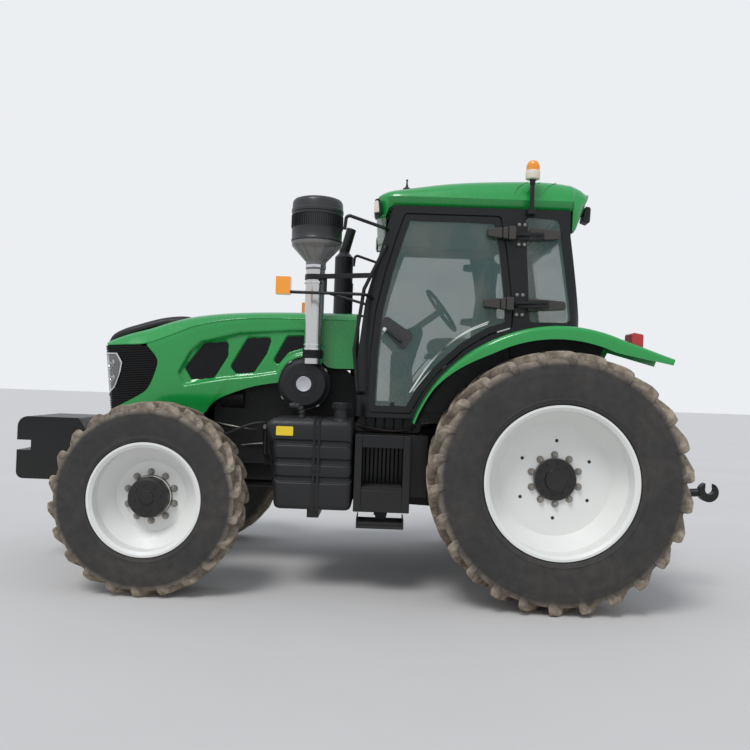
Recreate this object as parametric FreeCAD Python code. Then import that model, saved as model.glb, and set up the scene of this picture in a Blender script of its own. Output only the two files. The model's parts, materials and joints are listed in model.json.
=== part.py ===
"""Farm tractor with four driven wheels, a cab and a three point linkage at the back.

All sizes are millimetres. While a piece is modelled, X runs forward from the rear axle,
Y runs to the tractor's left and Z runs up from the ground. write_node() then moves every
piece so that X = 0 is midway between the front weight and the lower link hooks.
"""
import FreeCAD, Part
import math
import os

V = FreeCAD.Vector
ZERO = V(0, 0, 0)
ALONG_X = V(1, 0, 0)
ALONG_Y = V(0, 1, 0)
ALONG_Z = V(0, 0, 1)

# Clearances
SEAT_GAP = 0.3
RUNNING_GAP = 0.08
PANEL_GAP = 11.0

# Wheels and stance
WHEELBASE = 2743.0
REAR_TYRE_R = 865.0
REAR_TYRE_WIDTH = 470.0
REAR_FLANGE_R = 508.0
REAR_RIM_WIDTH = 406.0
REAR_WHEEL_Y = 1000.0
REAR_DISC_INSET = 237.0
REAR_DISC_R = 382.0
FRONT_TYRE_R = 648.0
FRONT_TYRE_WIDTH = 378.0
FRONT_FLANGE_R = 381.0
FRONT_RIM_WIDTH = 330.0
FRONT_WHEEL_Y = 960.0
FRONT_DISC_INSET = 188.0
FRONT_DISC_R = 238.0
FLANGE_THICKNESS = 15.0
FLANGE_HEIGHT = 25.0
BARREL_WALL = 11.0
DISC_WALL = 14.0
HUB_FLANGE_R = 143.0

# Front axle and steering
KINGPIN_Y = 800.0
KINGPIN_R = 26.0
AXLE_BEAM_R = 68.0
AXLE_BOSS_R = 62.0
AXLE_BOSS_HEIGHT = 140.0
SPINDLE_R = 55.0
STEER_ARM = 230.0
TIE_ROD_R = 17.0

# Rear axle
TRUMPET_R = 115.0
TRUMPET_END_Y = 925.0
AXLE_SHAFT_R = 50.0

# Chassis
RAIL_INNER_Y = 190.0
RAIL_OUTER_Y = 270.0
RAIL_BOTTOM_Z = 826.0
RAIL_TOP_Z = 962.0
ENGINE_REAR_X = 1400.0
ENGINE_FRONT_X = 2480.0
ENGINE_TOP_Z = 1600.0
SUMP_BOTTOM_Z = 690.0
ENGINE_HALF_WIDTH = 255.0
BOLSTER_FRONT_X = 3457.0

# Front weight
WEIGHT_LENGTH = 530.0
WEIGHT_HALF_WIDTH = 300.0
WEIGHT_BOTTOM_Z = 648.0
WEIGHT_TOP_Z = 1127.0
TOW_PIN_R = 17.0
TOW_JAW_Z = 906.0
TOW_JAW_GAP = 77.0
TOW_JAW_DEPTH = 108.0

# Hood
HOOD_REAR_X = 1400.0
HOOD_NOSE_X = 3345.0
HOOD_BOTTOM_Z = 1185.0
HOOD_WALL = 6.0
HOOD_HINGE_X = 1430.0
HOOD_HINGE_Z = 1930.0
HOOD_PIN_R = 10.0
HOOD_STAND_HALF = 80.0

# Cab
CAB_HALF_WIDTH = 790.0
CAB_WALL = 45.0
CAB_INNER_FLOOR_Y = CAB_HALF_WIDTH - CAB_WALL - 5
FLOOR_BOTTOM_Z = 1234.0
FLOOR_TOP_Z = 1290.0
CAB_EAVES_Z = 2735.0
GLASS_THICKNESS = 8.0

# Fender arc round the rear axle
FENDER_R = 1033.0
FENDER_SHEET = 6.0
FENDER_OUTER_Y = 1120.0

# Linkage
LINK_PIVOT_X = -250.0
LINK_PIVOT_Z = 650.0
LINK_LENGTH = 1000.0
LINK_ROD_AT = 500.0
LINK_FRONT_Y = 285.0
LINK_HOOK_Y = 480.0
LIFT_PIVOT_Z = 1180.0
LINK_RISE_DEG = 6.0
HOOK_REACH = 72.0

# Overall length, which sets where X = 0 lies in the finished part
WEIGHT_FRONT_X = BOLSTER_FRONT_X + WEIGHT_LENGTH
HOOK_END_X = LINK_PIVOT_X - LINK_LENGTH * math.cos(math.radians(LINK_RISE_DEG)) - HOOK_REACH
ORIGIN_X = (WEIGHT_FRONT_X + HOOK_END_X) / 2


def rounded_wire(corners, place):
    """Closed wire through corners (a, b, radius), each turned with a tangent arc."""
    count = len(corners)
    edges = []
    ends = []
    for i in range(count):
        a, b, radius = corners[i]
        here = V(a, b, 0)
        before = V(corners[i - 1][0], corners[i - 1][1], 0)
        after = V(corners[(i + 1) % count][0], corners[(i + 1) % count][1], 0)
        if radius == 0:
            ends.append((here, None, here))
            continue
        back = (before - here).normalize()
        ahead = (after - here).normalize()
        half = back.getAngle(ahead) / 2
        run = radius / math.tan(half)
        middle = (back + ahead).normalize()
        centre = here + middle * (radius / math.sin(half))
        ends.append((here + back * run, centre - middle * radius, here + ahead * run))
    for i in range(count):
        start, mid, end = ends[i]
        if mid is not None:
            edges.append(Part.Arc(place(start), place(mid), place(end)).toShape())
        following = ends[(i + 1) % count][0]
        if (following - end).Length > 1e-6:
            edges.append(Part.LineSegment(place(end), place(following)).toShape())
    return Part.Wire(edges)


def side_prism(corners, y_low, y_high):
    """Outline of (x, z, radius) corners, as a solid from y_low to y_high."""
    wire = rounded_wire(corners, lambda p: V(p.x, y_low, p.y))
    return Part.Face(wire).extrude(V(0, y_high - y_low, 0))


def plan_prism(corners, z_low, z_high):
    """Outline of (x, y, radius) corners, as a solid from z_low to z_high."""
    wire = rounded_wire(corners, lambda p: V(p.x, p.y, z_low))
    return Part.Face(wire).extrude(V(0, 0, z_high - z_low))


def front_prism(corners, x_low, x_high):
    """Outline of (y, z, radius) corners, as a solid from x_low to x_high."""
    wire = rounded_wire(corners, lambda p: V(x_low, p.x, p.y))
    return Part.Face(wire).extrude(V(x_high - x_low, 0, 0))


def block(x_low, x_high, y_low, y_high, z_low, z_high):
    return Part.makeBox(x_high - x_low, y_high - y_low, z_high - z_low, V(x_low, y_low, z_low))


def rod(start, end, radius):
    """Round bar between two points."""
    axis = end - start
    return Part.makeCylinder(radius, axis.Length, start, axis)


def lathe(profile, centre, axis):
    """Turn (along axis, radius) points round the axis through centre."""
    side = V(1, 0, 0) if abs(axis.x) < 0.5 else V(0, 0, 1)
    points = [centre + axis * along + side * radius for along, radius in profile]
    face = Part.Face(Part.makePolygon(points + points[:1]))
    return face.revolve(centre, axis, 360)


def bent_tube(points, radius, bend):
    """Round bar along straight runs joined by arcs of radius bend."""
    edges = []
    start = points[0]
    for i in range(1, len(points) - 1):
        back = (points[i - 1] - points[i]).normalize()
        ahead = (points[i + 1] - points[i]).normalize()
        half = back.getAngle(ahead) / 2
        run = bend / math.tan(half)
        middle = (back + ahead).normalize()
        arc_start = points[i] + back * run
        arc_mid = points[i] + middle * (bend / math.sin(half) - bend)
        arc_end = points[i] + ahead * run
        edges.append(Part.LineSegment(start, arc_start).toShape())
        edges.append(Part.Arc(arc_start, arc_mid, arc_end).toShape())
        start = arc_end
    edges.append(Part.LineSegment(start, points[-1]).toShape())
    path = Part.Wire(edges)
    ring = Part.Wire([Part.Circle(points[0], points[1] - points[0], radius).toShape()])
    return path.makePipeShell([ring], True, True)


def mirrored(shape):
    return shape.mirror(ZERO, ALONG_Y)


def pair(shape):
    """The piece on the left and its mirror image on the right, as separate solids."""
    return shape.Solids + mirrored(shape).Solids


def fuse(first, *others):
    return first.multiFuse(list(others)).removeSplitter()


def cut(first, *others):
    return first.cut(list(others))


def write_node(name, shape):
    solids = shape if isinstance(shape, list) else shape.Solids
    for solid in solids:
        if not solid.isValid() or solid.Volume <= 0:
            print("BAD SOLID in", name)
    body = solids[0] if len(solids) == 1 else Part.makeCompound(solids)
    body = body.copy()
    body.translate(V(-ORIGIN_X, 0, 0))
    body.exportStep("parts/" + name + ".step")
    print(name, len(solids), round(sum(solid.Volume for solid in solids) / 1e6, 2), "litres")


# Wheels


def wheel_rim(centre, flange_r, rim_width, disc_inset, disc_r, hub):
    """Rim, dished disc and hub as one turned piece; hub lists (outward, radius) points."""
    bead_r = flange_r - FLANGE_HEIGHT
    barrel_r = bead_r - BARREL_WALL
    edge = rim_width / 2
    lip = edge + FLANGE_THICKNESS
    disc = lip - disc_inset
    slope_end = disc + 0.42 * disc_inset
    profile = [(lip, flange_r), (lip, flange_r - FLANGE_THICKNESS), (edge, barrel_r),
               (slope_end, barrel_r), (disc, disc_r)]
    profile += [(disc + out, radius) for out, radius in hub]
    profile += [(disc - DISC_WALL, disc_r - DISC_WALL), (slope_end - 2 * DISC_WALL, barrel_r),
                (-edge, barrel_r), (-lip, flange_r - FLANGE_THICKNESS), (-lip, flange_r),
                (-edge, flange_r), (-edge, bead_r), (edge, bead_r), (edge, flange_r)]
    side = 1 if centre.y > 0 else -1
    return lathe([(along * side, radius) for along, radius in profile], centre, ALONG_Y)


def tyre(centre, tyre_r, width, flange_r, rim_width):
    """Tyre as a turned body out to the tips of its lugs."""
    bead_r = flange_r - FLANGE_HEIGHT + SEAT_GAP
    bead = rim_width / 2 - SEAT_GAP
    wall = width / 2
    profile = [(bead, bead_r), (bead, flange_r + 4), (wall, flange_r + 0.38 * (tyre_r - flange_r)),
               (wall - 4, tyre_r - 70), (wall - 22, tyre_r - 6), (wall - 60, tyre_r)]
    profile += [(-along, radius) for along, radius in reversed(profile)]
    return lathe(profile, centre, ALONG_Y)


def rear_centre(side):
    return V(0, side * REAR_WHEEL_Y, REAR_TYRE_R)


def front_centre(side):
    return V(WHEELBASE, side * FRONT_WHEEL_Y, FRONT_TYRE_R)


REAR_DISC_Y = REAR_WHEEL_Y + REAR_RIM_WIDTH / 2 + FLANGE_THICKNESS - REAR_DISC_INSET
FRONT_DISC_Y = FRONT_WHEEL_Y + FRONT_RIM_WIDTH / 2 + FLANGE_THICKNESS - FRONT_DISC_INSET
REAR_SHAFT_END_Y = REAR_DISC_Y + 30
SPINDLE_END_Y = FRONT_DISC_Y + 60
REAR_HUB_INNER_Y = TRUMPET_END_Y + 6
FRONT_HUB_INNER_Y = FRONT_DISC_Y - 34


def rear_rim(side):
    bore = AXLE_SHAFT_R + RUNNING_GAP
    back = REAR_HUB_INNER_Y - REAR_DISC_Y
    end = REAR_SHAFT_END_Y + SEAT_GAP - REAR_DISC_Y
    hub = [(0, HUB_FLANGE_R), (22, HUB_FLANGE_R), (22, 66), (50, 62), (50, 0), (end, 0),
           (end, bore), (back, bore), (back, 120), (-DISC_WALL, 120)]
    return wheel_rim(rear_centre(side), REAR_FLANGE_R, REAR_RIM_WIDTH, REAR_DISC_INSET,
                     REAR_DISC_R, hub)


def front_rim(side):
    bore = SPINDLE_R + RUNNING_GAP
    back = FRONT_HUB_INNER_Y - FRONT_DISC_Y
    end = SPINDLE_END_Y + SEAT_GAP - FRONT_DISC_Y
    hub = [(0, HUB_FLANGE_R), (60, HUB_FLANGE_R - 6), (96, 130), (102, 118), (102, 0), (end, 0),
           (end, bore), (back, bore), (back, 120), (-DISC_WALL, 120)]
    return wheel_rim(front_centre(side), FRONT_FLANGE_R, FRONT_RIM_WIDTH, FRONT_DISC_INSET,
                     FRONT_DISC_R, hub)


def rear_tyre(side):
    return tyre(rear_centre(side), REAR_TYRE_R, REAR_TYRE_WIDTH, REAR_FLANGE_R, REAR_RIM_WIDTH)


def front_tyre(side):
    return tyre(front_centre(side), FRONT_TYRE_R, FRONT_TYRE_WIDTH, FRONT_FLANGE_R,
                FRONT_RIM_WIDTH)


# Axles and steering


def front_axle():
    """Beam with a drive housing in the middle and a kingpin boss at each end."""
    height = FRONT_TYRE_R
    beam = rod(V(WHEELBASE, -KINGPIN_Y, height), V(WHEELBASE, KINGPIN_Y, height), AXLE_BEAM_R)
    housing = lathe([(-230, 0), (-230, 96), (-150, 150), (150, 150), (230, 96), (230, 0)],
                    V(WHEELBASE, 0, height), ALONG_Y)
    nose = rod(V(WHEELBASE - AXLE_NOSE_LENGTH, 0, height), V(WHEELBASE, 0, height), 80)
    saddle = block(WHEELBASE - 130, WHEELBASE + 130, -110, 110, height, RAIL_BOTTOM_Z)
    bosses = [rod(V(WHEELBASE, side * KINGPIN_Y, height - AXLE_BOSS_HEIGHT / 2),
                  V(WHEELBASE, side * KINGPIN_Y, height + AXLE_BOSS_HEIGHT / 2), AXLE_BOSS_R)
              for side in (1, -1)]
    whole = fuse(beam, housing, nose, saddle, *bosses)
    bores = [rod(V(WHEELBASE, side * KINGPIN_Y, height - AXLE_BOSS_HEIGHT),
                 V(WHEELBASE, side * KINGPIN_Y, height + AXLE_BOSS_HEIGHT),
                 KINGPIN_R + RUNNING_GAP) for side in (1, -1)]
    return cut(whole, *bores)


def knuckle(side):
    """Fork over the axle end, with its kingpin, the wheel spindle and the steering arm."""
    height = FRONT_TYRE_R
    arm_gap = AXLE_BOSS_HEIGHT / 2 + SEAT_GAP
    arm_end = arm_gap + 34
    web_inner = KINGPIN_Y + AXLE_BOSS_R + 12
    web_outer = FRONT_HUB_INNER_Y - SEAT_GAP
    plan = [(WHEELBASE - 62, web_outer, 12), (WHEELBASE - 62, KINGPIN_Y - 50, 45),
            (WHEELBASE + 62, KINGPIN_Y - 50, 45), (WHEELBASE + 62, web_outer, 12)]
    body = plan_prism(plan, height - arm_end, height + arm_end)
    gap = block(WHEELBASE - 200, WHEELBASE + 200, 0, web_inner, height - arm_gap, height + arm_gap)
    body = cut(body, gap)
    pin = rod(V(WHEELBASE, KINGPIN_Y, height - arm_end), V(WHEELBASE, KINGPIN_Y, height + arm_end),
              KINGPIN_R)
    spindle = rod(V(WHEELBASE, web_outer - 10, height), V(WHEELBASE, SPINDLE_END_Y, height),
                  SPINDLE_R)
    arm_plan = [(WHEELBASE, KINGPIN_Y - 40, 10), (WHEELBASE + STEER_ARM + 30, KINGPIN_Y - 28, 26),
                (WHEELBASE + STEER_ARM + 30, KINGPIN_Y + 28, 26), (WHEELBASE, KINGPIN_Y + 40, 10)]
    arm = plan_prism(arm_plan, height - arm_end, height - arm_gap)
    hole = rod(V(WHEELBASE + STEER_ARM, KINGPIN_Y, height - arm_end - 5),
               V(WHEELBASE + STEER_ARM, KINGPIN_Y, height), 12 + RUNNING_GAP)
    whole = cut(fuse(body, pin, spindle, arm), hole)
    return whole if side > 0 else mirrored(whole)


def tie_rod():
    """Rod between the two steering arms, with an eye and a pin at each end."""
    arm_top = FRONT_TYRE_R - AXLE_BOSS_HEIGHT / 2 - SEAT_GAP
    eye_low = arm_top + SEAT_GAP
    eye_high = eye_low + 40
    mid = (eye_low + eye_high) / 2
    x = WHEELBASE + STEER_ARM
    bar = rod(V(x, -KINGPIN_Y, mid), V(x, KINGPIN_Y, mid), TIE_ROD_R)
    eyes = [rod(V(x, side * KINGPIN_Y, eye_low), V(x, side * KINGPIN_Y, eye_high), 26)
            for side in (1, -1)]
    pins = [rod(V(x, side * KINGPIN_Y, arm_top - 34), V(x, side * KINGPIN_Y, eye_high), 12)
            for side in (1, -1)]
    return fuse(bar, *(eyes + pins))


def rear_axles():
    """Trumpet housings with a flange at the gearbox and the shaft that carries each wheel."""
    profile = [(REAR_HOUSING_Y, 0), (REAR_HOUSING_Y, 190), (REAR_HOUSING_Y + 40, 190),
               (REAR_HOUSING_Y + 60, 150), (560, TRUMPET_R), (TRUMPET_END_Y - 60, TRUMPET_R),
               (TRUMPET_END_Y - 50, 130), (TRUMPET_END_Y, 130), (TRUMPET_END_Y, AXLE_SHAFT_R),
               (REAR_SHAFT_END_Y, AXLE_SHAFT_R), (REAR_SHAFT_END_Y, 0)]
    return pair(lathe(profile, V(0, 0, REAR_TYRE_R), ALONG_Y))


# Chassis

REAR_HOUSING_Y = 245.0
HOUSING_REAR_X = -430.0


def rear_housing():
    """Gearbox and rear axle case, with cab mounts, drawbar box, PTO stub and link ears."""
    side = [(HOUSING_REAR_X, 600, 40), (-380, CASE_BOTTOM_Z, 30), (400, CASE_BOTTOM_Z, 60),
            (ENGINE_REAR_X, 560, 30),
            (ENGINE_REAR_X, 1170, 30), (500, 1120, 40), (330, 1200, 40), (-380, 1200, 60),
            (HOUSING_REAR_X, 1100, 40)]
    case = side_prism(side, -REAR_HOUSING_Y, REAR_HOUSING_Y)
    waist = [plan_prism([(420, side_y * 400, 0), (420, side_y * REAR_HOUSING_Y, 30),
                         (480, side_y * 205, 30), (ENGINE_REAR_X, side_y * 205, 0),
                         (ENGINE_REAR_X, side_y * 400, 0)], 400, 1300) for side_y in (1, -1)]
    case = cut(case, *waist)
    towers = []
    for x, y, foot in CAB_MOUNTS:
        towers.append(rod(V(x, y, foot), V(x, y, FLOOR_BOTTOM_Z), 55))
        towers.append(block(x - 60, x + 60, 0 if y > 0 else y - 60, y + 60 if y > 0 else 0,
                            foot - 50, foot))
    link_pin = rod(V(LINK_PIVOT_X, -LINK_FRONT_Y - 30, LINK_PIVOT_Z),
                   V(LINK_PIVOT_X, LINK_FRONT_Y + 30, LINK_PIVOT_Z), LINK_PIN_R)
    lift_pin = rod(V(LINK_PIVOT_X, -LIFT_ARM_OUTER_Y, LIFT_PIVOT_Z),
                   V(LINK_PIVOT_X, LIFT_ARM_OUTER_Y, LIFT_PIVOT_Z), LIFT_PIN_R)
    pto = rod(V(HOUSING_REAR_X - PTO_LENGTH, 0, PTO_Z), V(HOUSING_REAR_X + 20, 0, PTO_Z), PTO_R)
    cheeks = []
    for low, high in ((TOP_LINK_HALF + 5, TOP_LINK_HALF + 25), (-TOP_LINK_HALF - 25, -TOP_LINK_HALF - 5)):
        cheeks.append(side_prism([(HOUSING_REAR_X + 20, TOP_PIVOT_Z - 70, 0),
                                  (TOP_PIVOT_X - 34, TOP_PIVOT_Z - 30, 30),
                                  (TOP_PIVOT_X - 34, TOP_PIVOT_Z + 34, 30),
                                  (HOUSING_REAR_X + 20, TOP_PIVOT_Z + 60, 0)], low, high))
    top_pin = rod(V(TOP_PIVOT_X, -TOP_LINK_HALF - 30, TOP_PIVOT_Z),
                  V(TOP_PIVOT_X, TOP_LINK_HALF + 30, TOP_PIVOT_Z), TOP_PIN_R)
    return fuse(case, link_pin, lift_pin, pto, top_pin, *(towers + cheeks))


PTO_Z = 700.0
PTO_R = 17.5
PTO_LENGTH = 78.0
CASE_BOTTOM_Z = 520.0
LINK_PIN_R = 22.0
LIFT_PIN_R = 36.0
LIFT_ARM_OUTER_Y = 336.0
TOP_PIVOT_X = -480.0
TOP_PIVOT_Z = 1040.0
TOP_PIN_R = 12.7
TOP_LINK_HALF = 25.0
CAB_MOUNTS = [(-60.0, 420.0, 1110.0), (-60.0, -420.0, 1110.0), (1180.0, 420.0, 1110.0),
              (1180.0, -420.0, 1110.0)]


def engine_block():
    """Engine as one heavy block over its sump, with the fan pulley and the hood's hinge stand."""
    head = side_prism([(ENGINE_REAR_X, RAIL_TOP_Z, 0), (ENGINE_REAR_X, 1500, 40),
                       (ENGINE_REAR_X + 120, ENGINE_TOP_Z, 40), (ENGINE_FRONT_X - 60, ENGINE_TOP_Z, 40),
                       (ENGINE_FRONT_X, 1480, 40), (ENGINE_FRONT_X, RAIL_TOP_Z, 0)],
                      -ENGINE_HALF_WIDTH, ENGINE_HALF_WIDTH)
    low = RAIL_INNER_Y
    sump = side_prism([(ENGINE_REAR_X, SUMP_BOTTOM_Z + 60, 40), (ENGINE_REAR_X, RAIL_TOP_Z, 0),
                       (ENGINE_FRONT_X, RAIL_TOP_Z, 0), (ENGINE_FRONT_X, 800, 40),
                       (ENGINE_FRONT_X - 200, SUMP_BOTTOM_Z, 60),
                       (ENGINE_REAR_X + 200, SUMP_BOTTOM_Z, 60)], -low, low)
    pulley = rod(V(ENGINE_FRONT_X, 0, 1050), V(ENGINE_FRONT_X + 60, 0, 1050), 120)
    fan_hub = rod(V(ENGINE_FRONT_X, 0, 1400), V(ENGINE_FRONT_X + 70, 0, 1400), 70)
    alternator = rod(V(2250, 240, 1330), V(2420, 240, 1330), 85)
    stand = block(HOOD_HINGE_X - 18, HOOD_HINGE_X + 18, -HOOD_STAND_HALF, HOOD_STAND_HALF, 1490,
                  HOOD_HINGE_Z + 18)
    hinge_pin = rod(V(HOOD_HINGE_X, -HOOD_STAND_HALF - 30, HOOD_HINGE_Z),
                    V(HOOD_HINGE_X, HOOD_STAND_HALF + 30, HOOD_HINGE_Z), HOOD_PIN_R)
    return fuse(head, sump, pulley, fan_hub, alternator, stand, hinge_pin)


def radiator():
    """Cooling pack standing on the front frame, with its shroud."""
    core = block(2620, 2800, -320, 320, RAIL_TOP_Z, 1700)
    shroud = cut(rod(V(2560, 0, 1400), V(2620, 0, 1400), 300), rod(V(2550, 0, 1400), V(2630, 0, 1400), 280))
    return fuse(core, shroud)


def front_frame():
    """Side rails from the engine to the front bolster, with the axle pivot under them."""
    rails = []
    for low, high in ((RAIL_INNER_Y, RAIL_OUTER_Y), (-RAIL_OUTER_Y, -RAIL_INNER_Y)):
        rails.append(side_prism([(1560, RAIL_BOTTOM_Z, 20), (1560, RAIL_TOP_Z, 20),
                                 (BOLSTER_FRONT_X, RAIL_TOP_Z, 0), (BOLSTER_FRONT_X, RAIL_BOTTOM_Z, 0)],
                                low, high))
    bolster = side_prism([(2560, RAIL_BOTTOM_Z, 20), (2560, RAIL_TOP_Z, 0),
                          (BOLSTER_FRONT_X, RAIL_TOP_Z, 0), (BOLSTER_FRONT_X, 700, 30),
                          (3150, 700, 60), (3000, RAIL_BOTTOM_Z, 60)], -RAIL_INNER_Y, RAIL_INNER_Y)
    return fuse(bolster, *rails)


def front_weight():
    """Cast front weight with rounded corners and the jaw and pin hole of the tow point."""
    side = [(BOLSTER_FRONT_X, WEIGHT_BOTTOM_Z, 20), (WEIGHT_FRONT_X, WEIGHT_BOTTOM_Z, 55),
            (WEIGHT_FRONT_X, WEIGHT_TOP_Z, 80), (BOLSTER_FRONT_X + 60, WEIGHT_TOP_Z, 20),
            (BOLSTER_FRONT_X, WEIGHT_TOP_Z - 90, 20)]
    body = side_prism(side, -WEIGHT_HALF_WIDTH, WEIGHT_HALF_WIDTH)
    jaw = block(WEIGHT_FRONT_X - TOW_JAW_DEPTH, WEIGHT_FRONT_X + 10, -WEIGHT_HALF_WIDTH - 10,
                WEIGHT_HALF_WIDTH + 10, TOW_JAW_Z - TOW_JAW_GAP / 2, TOW_JAW_Z + TOW_JAW_GAP / 2)
    pin_x = WEIGHT_FRONT_X - TOW_JAW_DEPTH / 2
    pin = rod(V(pin_x, 0, TOW_JAW_Z - 110), V(pin_x, 0, WEIGHT_TOP_Z + 10), TOW_PIN_R)
    return cut(body, jaw, pin)


def drive_shaft():
    """Shaft from the gearbox to the front axle, under the sump."""
    z = FRONT_TYRE_R - 3
    return rod(V(ENGINE_REAR_X, 0, z), V(WHEELBASE - AXLE_NOSE_LENGTH, 0, z), 32)


AXLE_NOSE_LENGTH = 260.0


# Hood

HOOD_TOP_Z = 2013.0
HOOD_SHOULDER_R = 80.0
# Side view of the top, from the nose back: x, z, radius of the bend there
HOOD_CROWN = [(3240.0, 1785.0, 500.0), (2640.0, 1958.0, 1200.0), (2250.0, 1995.0, 2500.0)]
HOOD_NOSE_TOP_Z = 1700.0
# Plan, from the nose back: x, half width, radius of the bend there
HOOD_FLANK = [(HOOD_NOSE_X, 330.0, 120.0), (2800.0, 402.0, 1500.0), (2400.0, 408.0, 3000.0),
              (HOOD_REAR_X, 395.0, 0.0)]


def hood_form(inset):
    """Hood as side view crossed with plan, its shoulders rounded, smaller all round by inset."""
    overrun = 10 if inset > 0 else 0
    rear = HOOD_REAR_X - overrun
    low = HOOD_BOTTOM_Z - overrun
    side = [(rear, low, 0), (HOOD_NOSE_X - inset, low, 0),
            (HOOD_NOSE_X - inset, HOOD_NOSE_TOP_Z - inset, 0)]
    side += [(x, z - inset, bend) for x, z, bend in HOOD_CROWN]
    side.append((rear, HOOD_TOP_Z - inset, 0))
    flank = []
    for x, half, bend in HOOD_FLANK:
        if x == HOOD_NOSE_X:
            flank.append((x - inset, half - inset, bend - inset))
        elif x == HOOD_REAR_X:
            flank.append((rear, half - inset, bend))
        else:
            flank.append((x, half - inset, bend))
    plan = flank + [(x, -y, bend) for x, y, bend in reversed(flank)]
    body = side_prism(side, -500, 500).common(plan_prism(plan, low - 50, HOOD_TOP_Z + 50))
    shoulder = []
    for edge in body.Edges:
        box = edge.BoundBox
        middle = edge.valueAt((edge.FirstParameter + edge.LastParameter) / 2)
        along_flank = abs(middle.y) > 200 and box.XLength > 1
        along_nose = middle.x > HOOD_NOSE_X - 200 and box.YLength > 1
        if box.ZMin > HOOD_NOSE_TOP_Z - 100 and (along_flank or along_nose):
            shoulder.append(edge)
    return body.makeFillet(HOOD_SHOULDER_R - inset, shoulder)


def hood_cutaway():
    """What the hood's lower edge leaves open, from the rear to below the front wheel arch."""
    low = HOOD_BOTTOM_Z - 20
    return side_prism([(HOOD_REAR_X - 20, low, 0), (2555, low, 0), (2524, 1204, 40), (2467, 1289, 60),
                       (2371, 1345, 60), (2170, 1420, 60), (1965, 1458, 30), (1965, 1690, 30),
                       (1620, 1690, 60), (1540, 1580, 40), (HOOD_REAR_X - 20, 1580, 0)], -500, 500)


GRILLE_ZONE = [(3400, 1180, 0), (3290, 1205, 30), (2997, 1338, 60), (2946, 1401, 60),
               (2898, 1539, 60), (2894, 1607, 30), (2989, 1706, 30), (3400, 1694, 0)]
LAMP_ZONE = [(3300, 1305, 20), (3227, 1376, 20), (3192, 1468, 30), (3177, 1567, 20),
             (3222, 1637, 20), (3400, 1630, 0), (3400, 1305, 0)]
LAMP_INNER_Y = 250.0
VENT_ZONES = [[(2552, 1739, 25), (2364, 1753, 25), (2364, 1600, 60), (2541, 1452, 30), (2640, 1449, 20),
               (2696, 1538, 30)],
              [(2221, 1788, 25), (2033, 1795, 25), (2070, 1640, 60), (2189, 1518, 30),
               (2302, 1506, 20), (2349, 1557, 30)]]


def side_band(corners):
    """Prism right across the tractor."""
    return side_prism(corners, -700, 700)


def shrunk(corners, gap):
    """Prism right across the tractor, with its outline moved in by gap."""
    wire = rounded_wire(corners, lambda p: V(p.x, -700, p.y))
    inner = wire.makeOffset2D(-gap)
    return Part.Face(inner).extrude(V(0, 1400, 0))


def hood_shell():
    """Sheet metal hood, open at the nose and the vents, with two hinge ears under its rear."""
    shell = cut(hood_form(0), hood_form(HOOD_WALL), hood_cutaway(), side_band(GRILLE_ZONE))
    shell = cut(shell, *[side_band(zone) for zone in VENT_ZONES])
    bore = rod(V(HOOD_HINGE_X, -300, HOOD_HINGE_Z), V(HOOD_HINGE_X, 300, HOOD_HINGE_Z),
               HOOD_PIN_R + RUNNING_GAP)
    ears = []
    for low in (HOOD_STAND_HALF + 10, -HOOD_STAND_HALF - 22):
        ear = side_prism([(HOOD_HINGE_X - 24, HOOD_HINGE_Z - 24, 23), (HOOD_HINGE_X + 24, HOOD_HINGE_Z - 24, 23),
                          (HOOD_HINGE_X + 60, HOOD_TOP_Z - 8, 0), (HOOD_HINGE_X - 24, HOOD_TOP_Z - 4, 0)],
                         low, low + 12)
        ears.append(cut(ear.common(hood_form(2)), bore))
    return fuse(shell, *ears)


def hood_skin(depth, thickness):
    """Sheet that follows the hood's inner face at a depth below its outer face."""
    return cut(hood_form(depth), hood_form(depth + thickness))


def nose_grille():
    """Mesh panel that wraps round the nose, open where the headlamps stand."""
    skin = hood_skin(HOOD_WALL + SEAT_GAP, 4)
    panel = skin.common(side_band([(3400, 1188, 0), (3285, 1188, 30), (2970, 1325, 60),
                                   (2920, 1401, 60), (2880, 1539, 60), (2880, 1610, 30),
                                   (2975, 1720, 30), (3400, 1700, 0)]))
    between = block(3100, 3400, -LAMP_INNER_Y, LAMP_INNER_Y, 1200, 1800)
    return cut(panel, side_band(LAMP_ZONE).cut(between))


def side_vents():
    """Mesh panels behind the openings in the hood's sides."""
    skin = hood_skin(HOOD_WALL + SEAT_GAP, 4)
    pieces = []
    for zone in VENT_ZONES:
        prism = side_band(zone)
        pieces += skin.common(prism).Solids
    return pieces


def headlamps():
    """Corner lamps in the nose grille."""
    body = cut(hood_form(2), hood_form(50)).common(shrunk(LAMP_ZONE, SEAT_GAP))
    inner = LAMP_INNER_Y + SEAT_GAP
    return cut(body, block(3100, 3400, -inner, inner, 1200, 1800)).Solids


# Cab

CAB_SIDE = [(-190, FLOOR_BOTTOM_Z, 0), (1380, FLOOR_BOTTOM_Z, 0), (1385, 1560, 200), (1330, 2060, 600),
            (1150, CAB_EAVES_Z, 0), (-95, CAB_EAVES_Z, 0), (-100, 2560, 200), (-190, 1980, 60)]
CAB_PLAN_FRONT_X = 1400.0
CAB_PLAN_REAR_X = -200.0
CAB_FRONT_CORNER_R = 170.0
CAB_REAR_CORNER_R = 110.0


def cab_plan(inset, z_low, z_high):
    """Cab's outline from above, smaller all round by inset."""
    half = CAB_HALF_WIDTH - inset
    front = CAB_PLAN_FRONT_X - inset
    rear = CAB_PLAN_REAR_X + inset
    front_radius = CAB_FRONT_CORNER_R - inset
    rear_radius = CAB_REAR_CORNER_R - inset
    return plan_prism([(rear, -half, rear_radius), (front, -half, front_radius),
                       (front, half, front_radius), (rear, half, rear_radius)], z_low, z_high)


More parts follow.
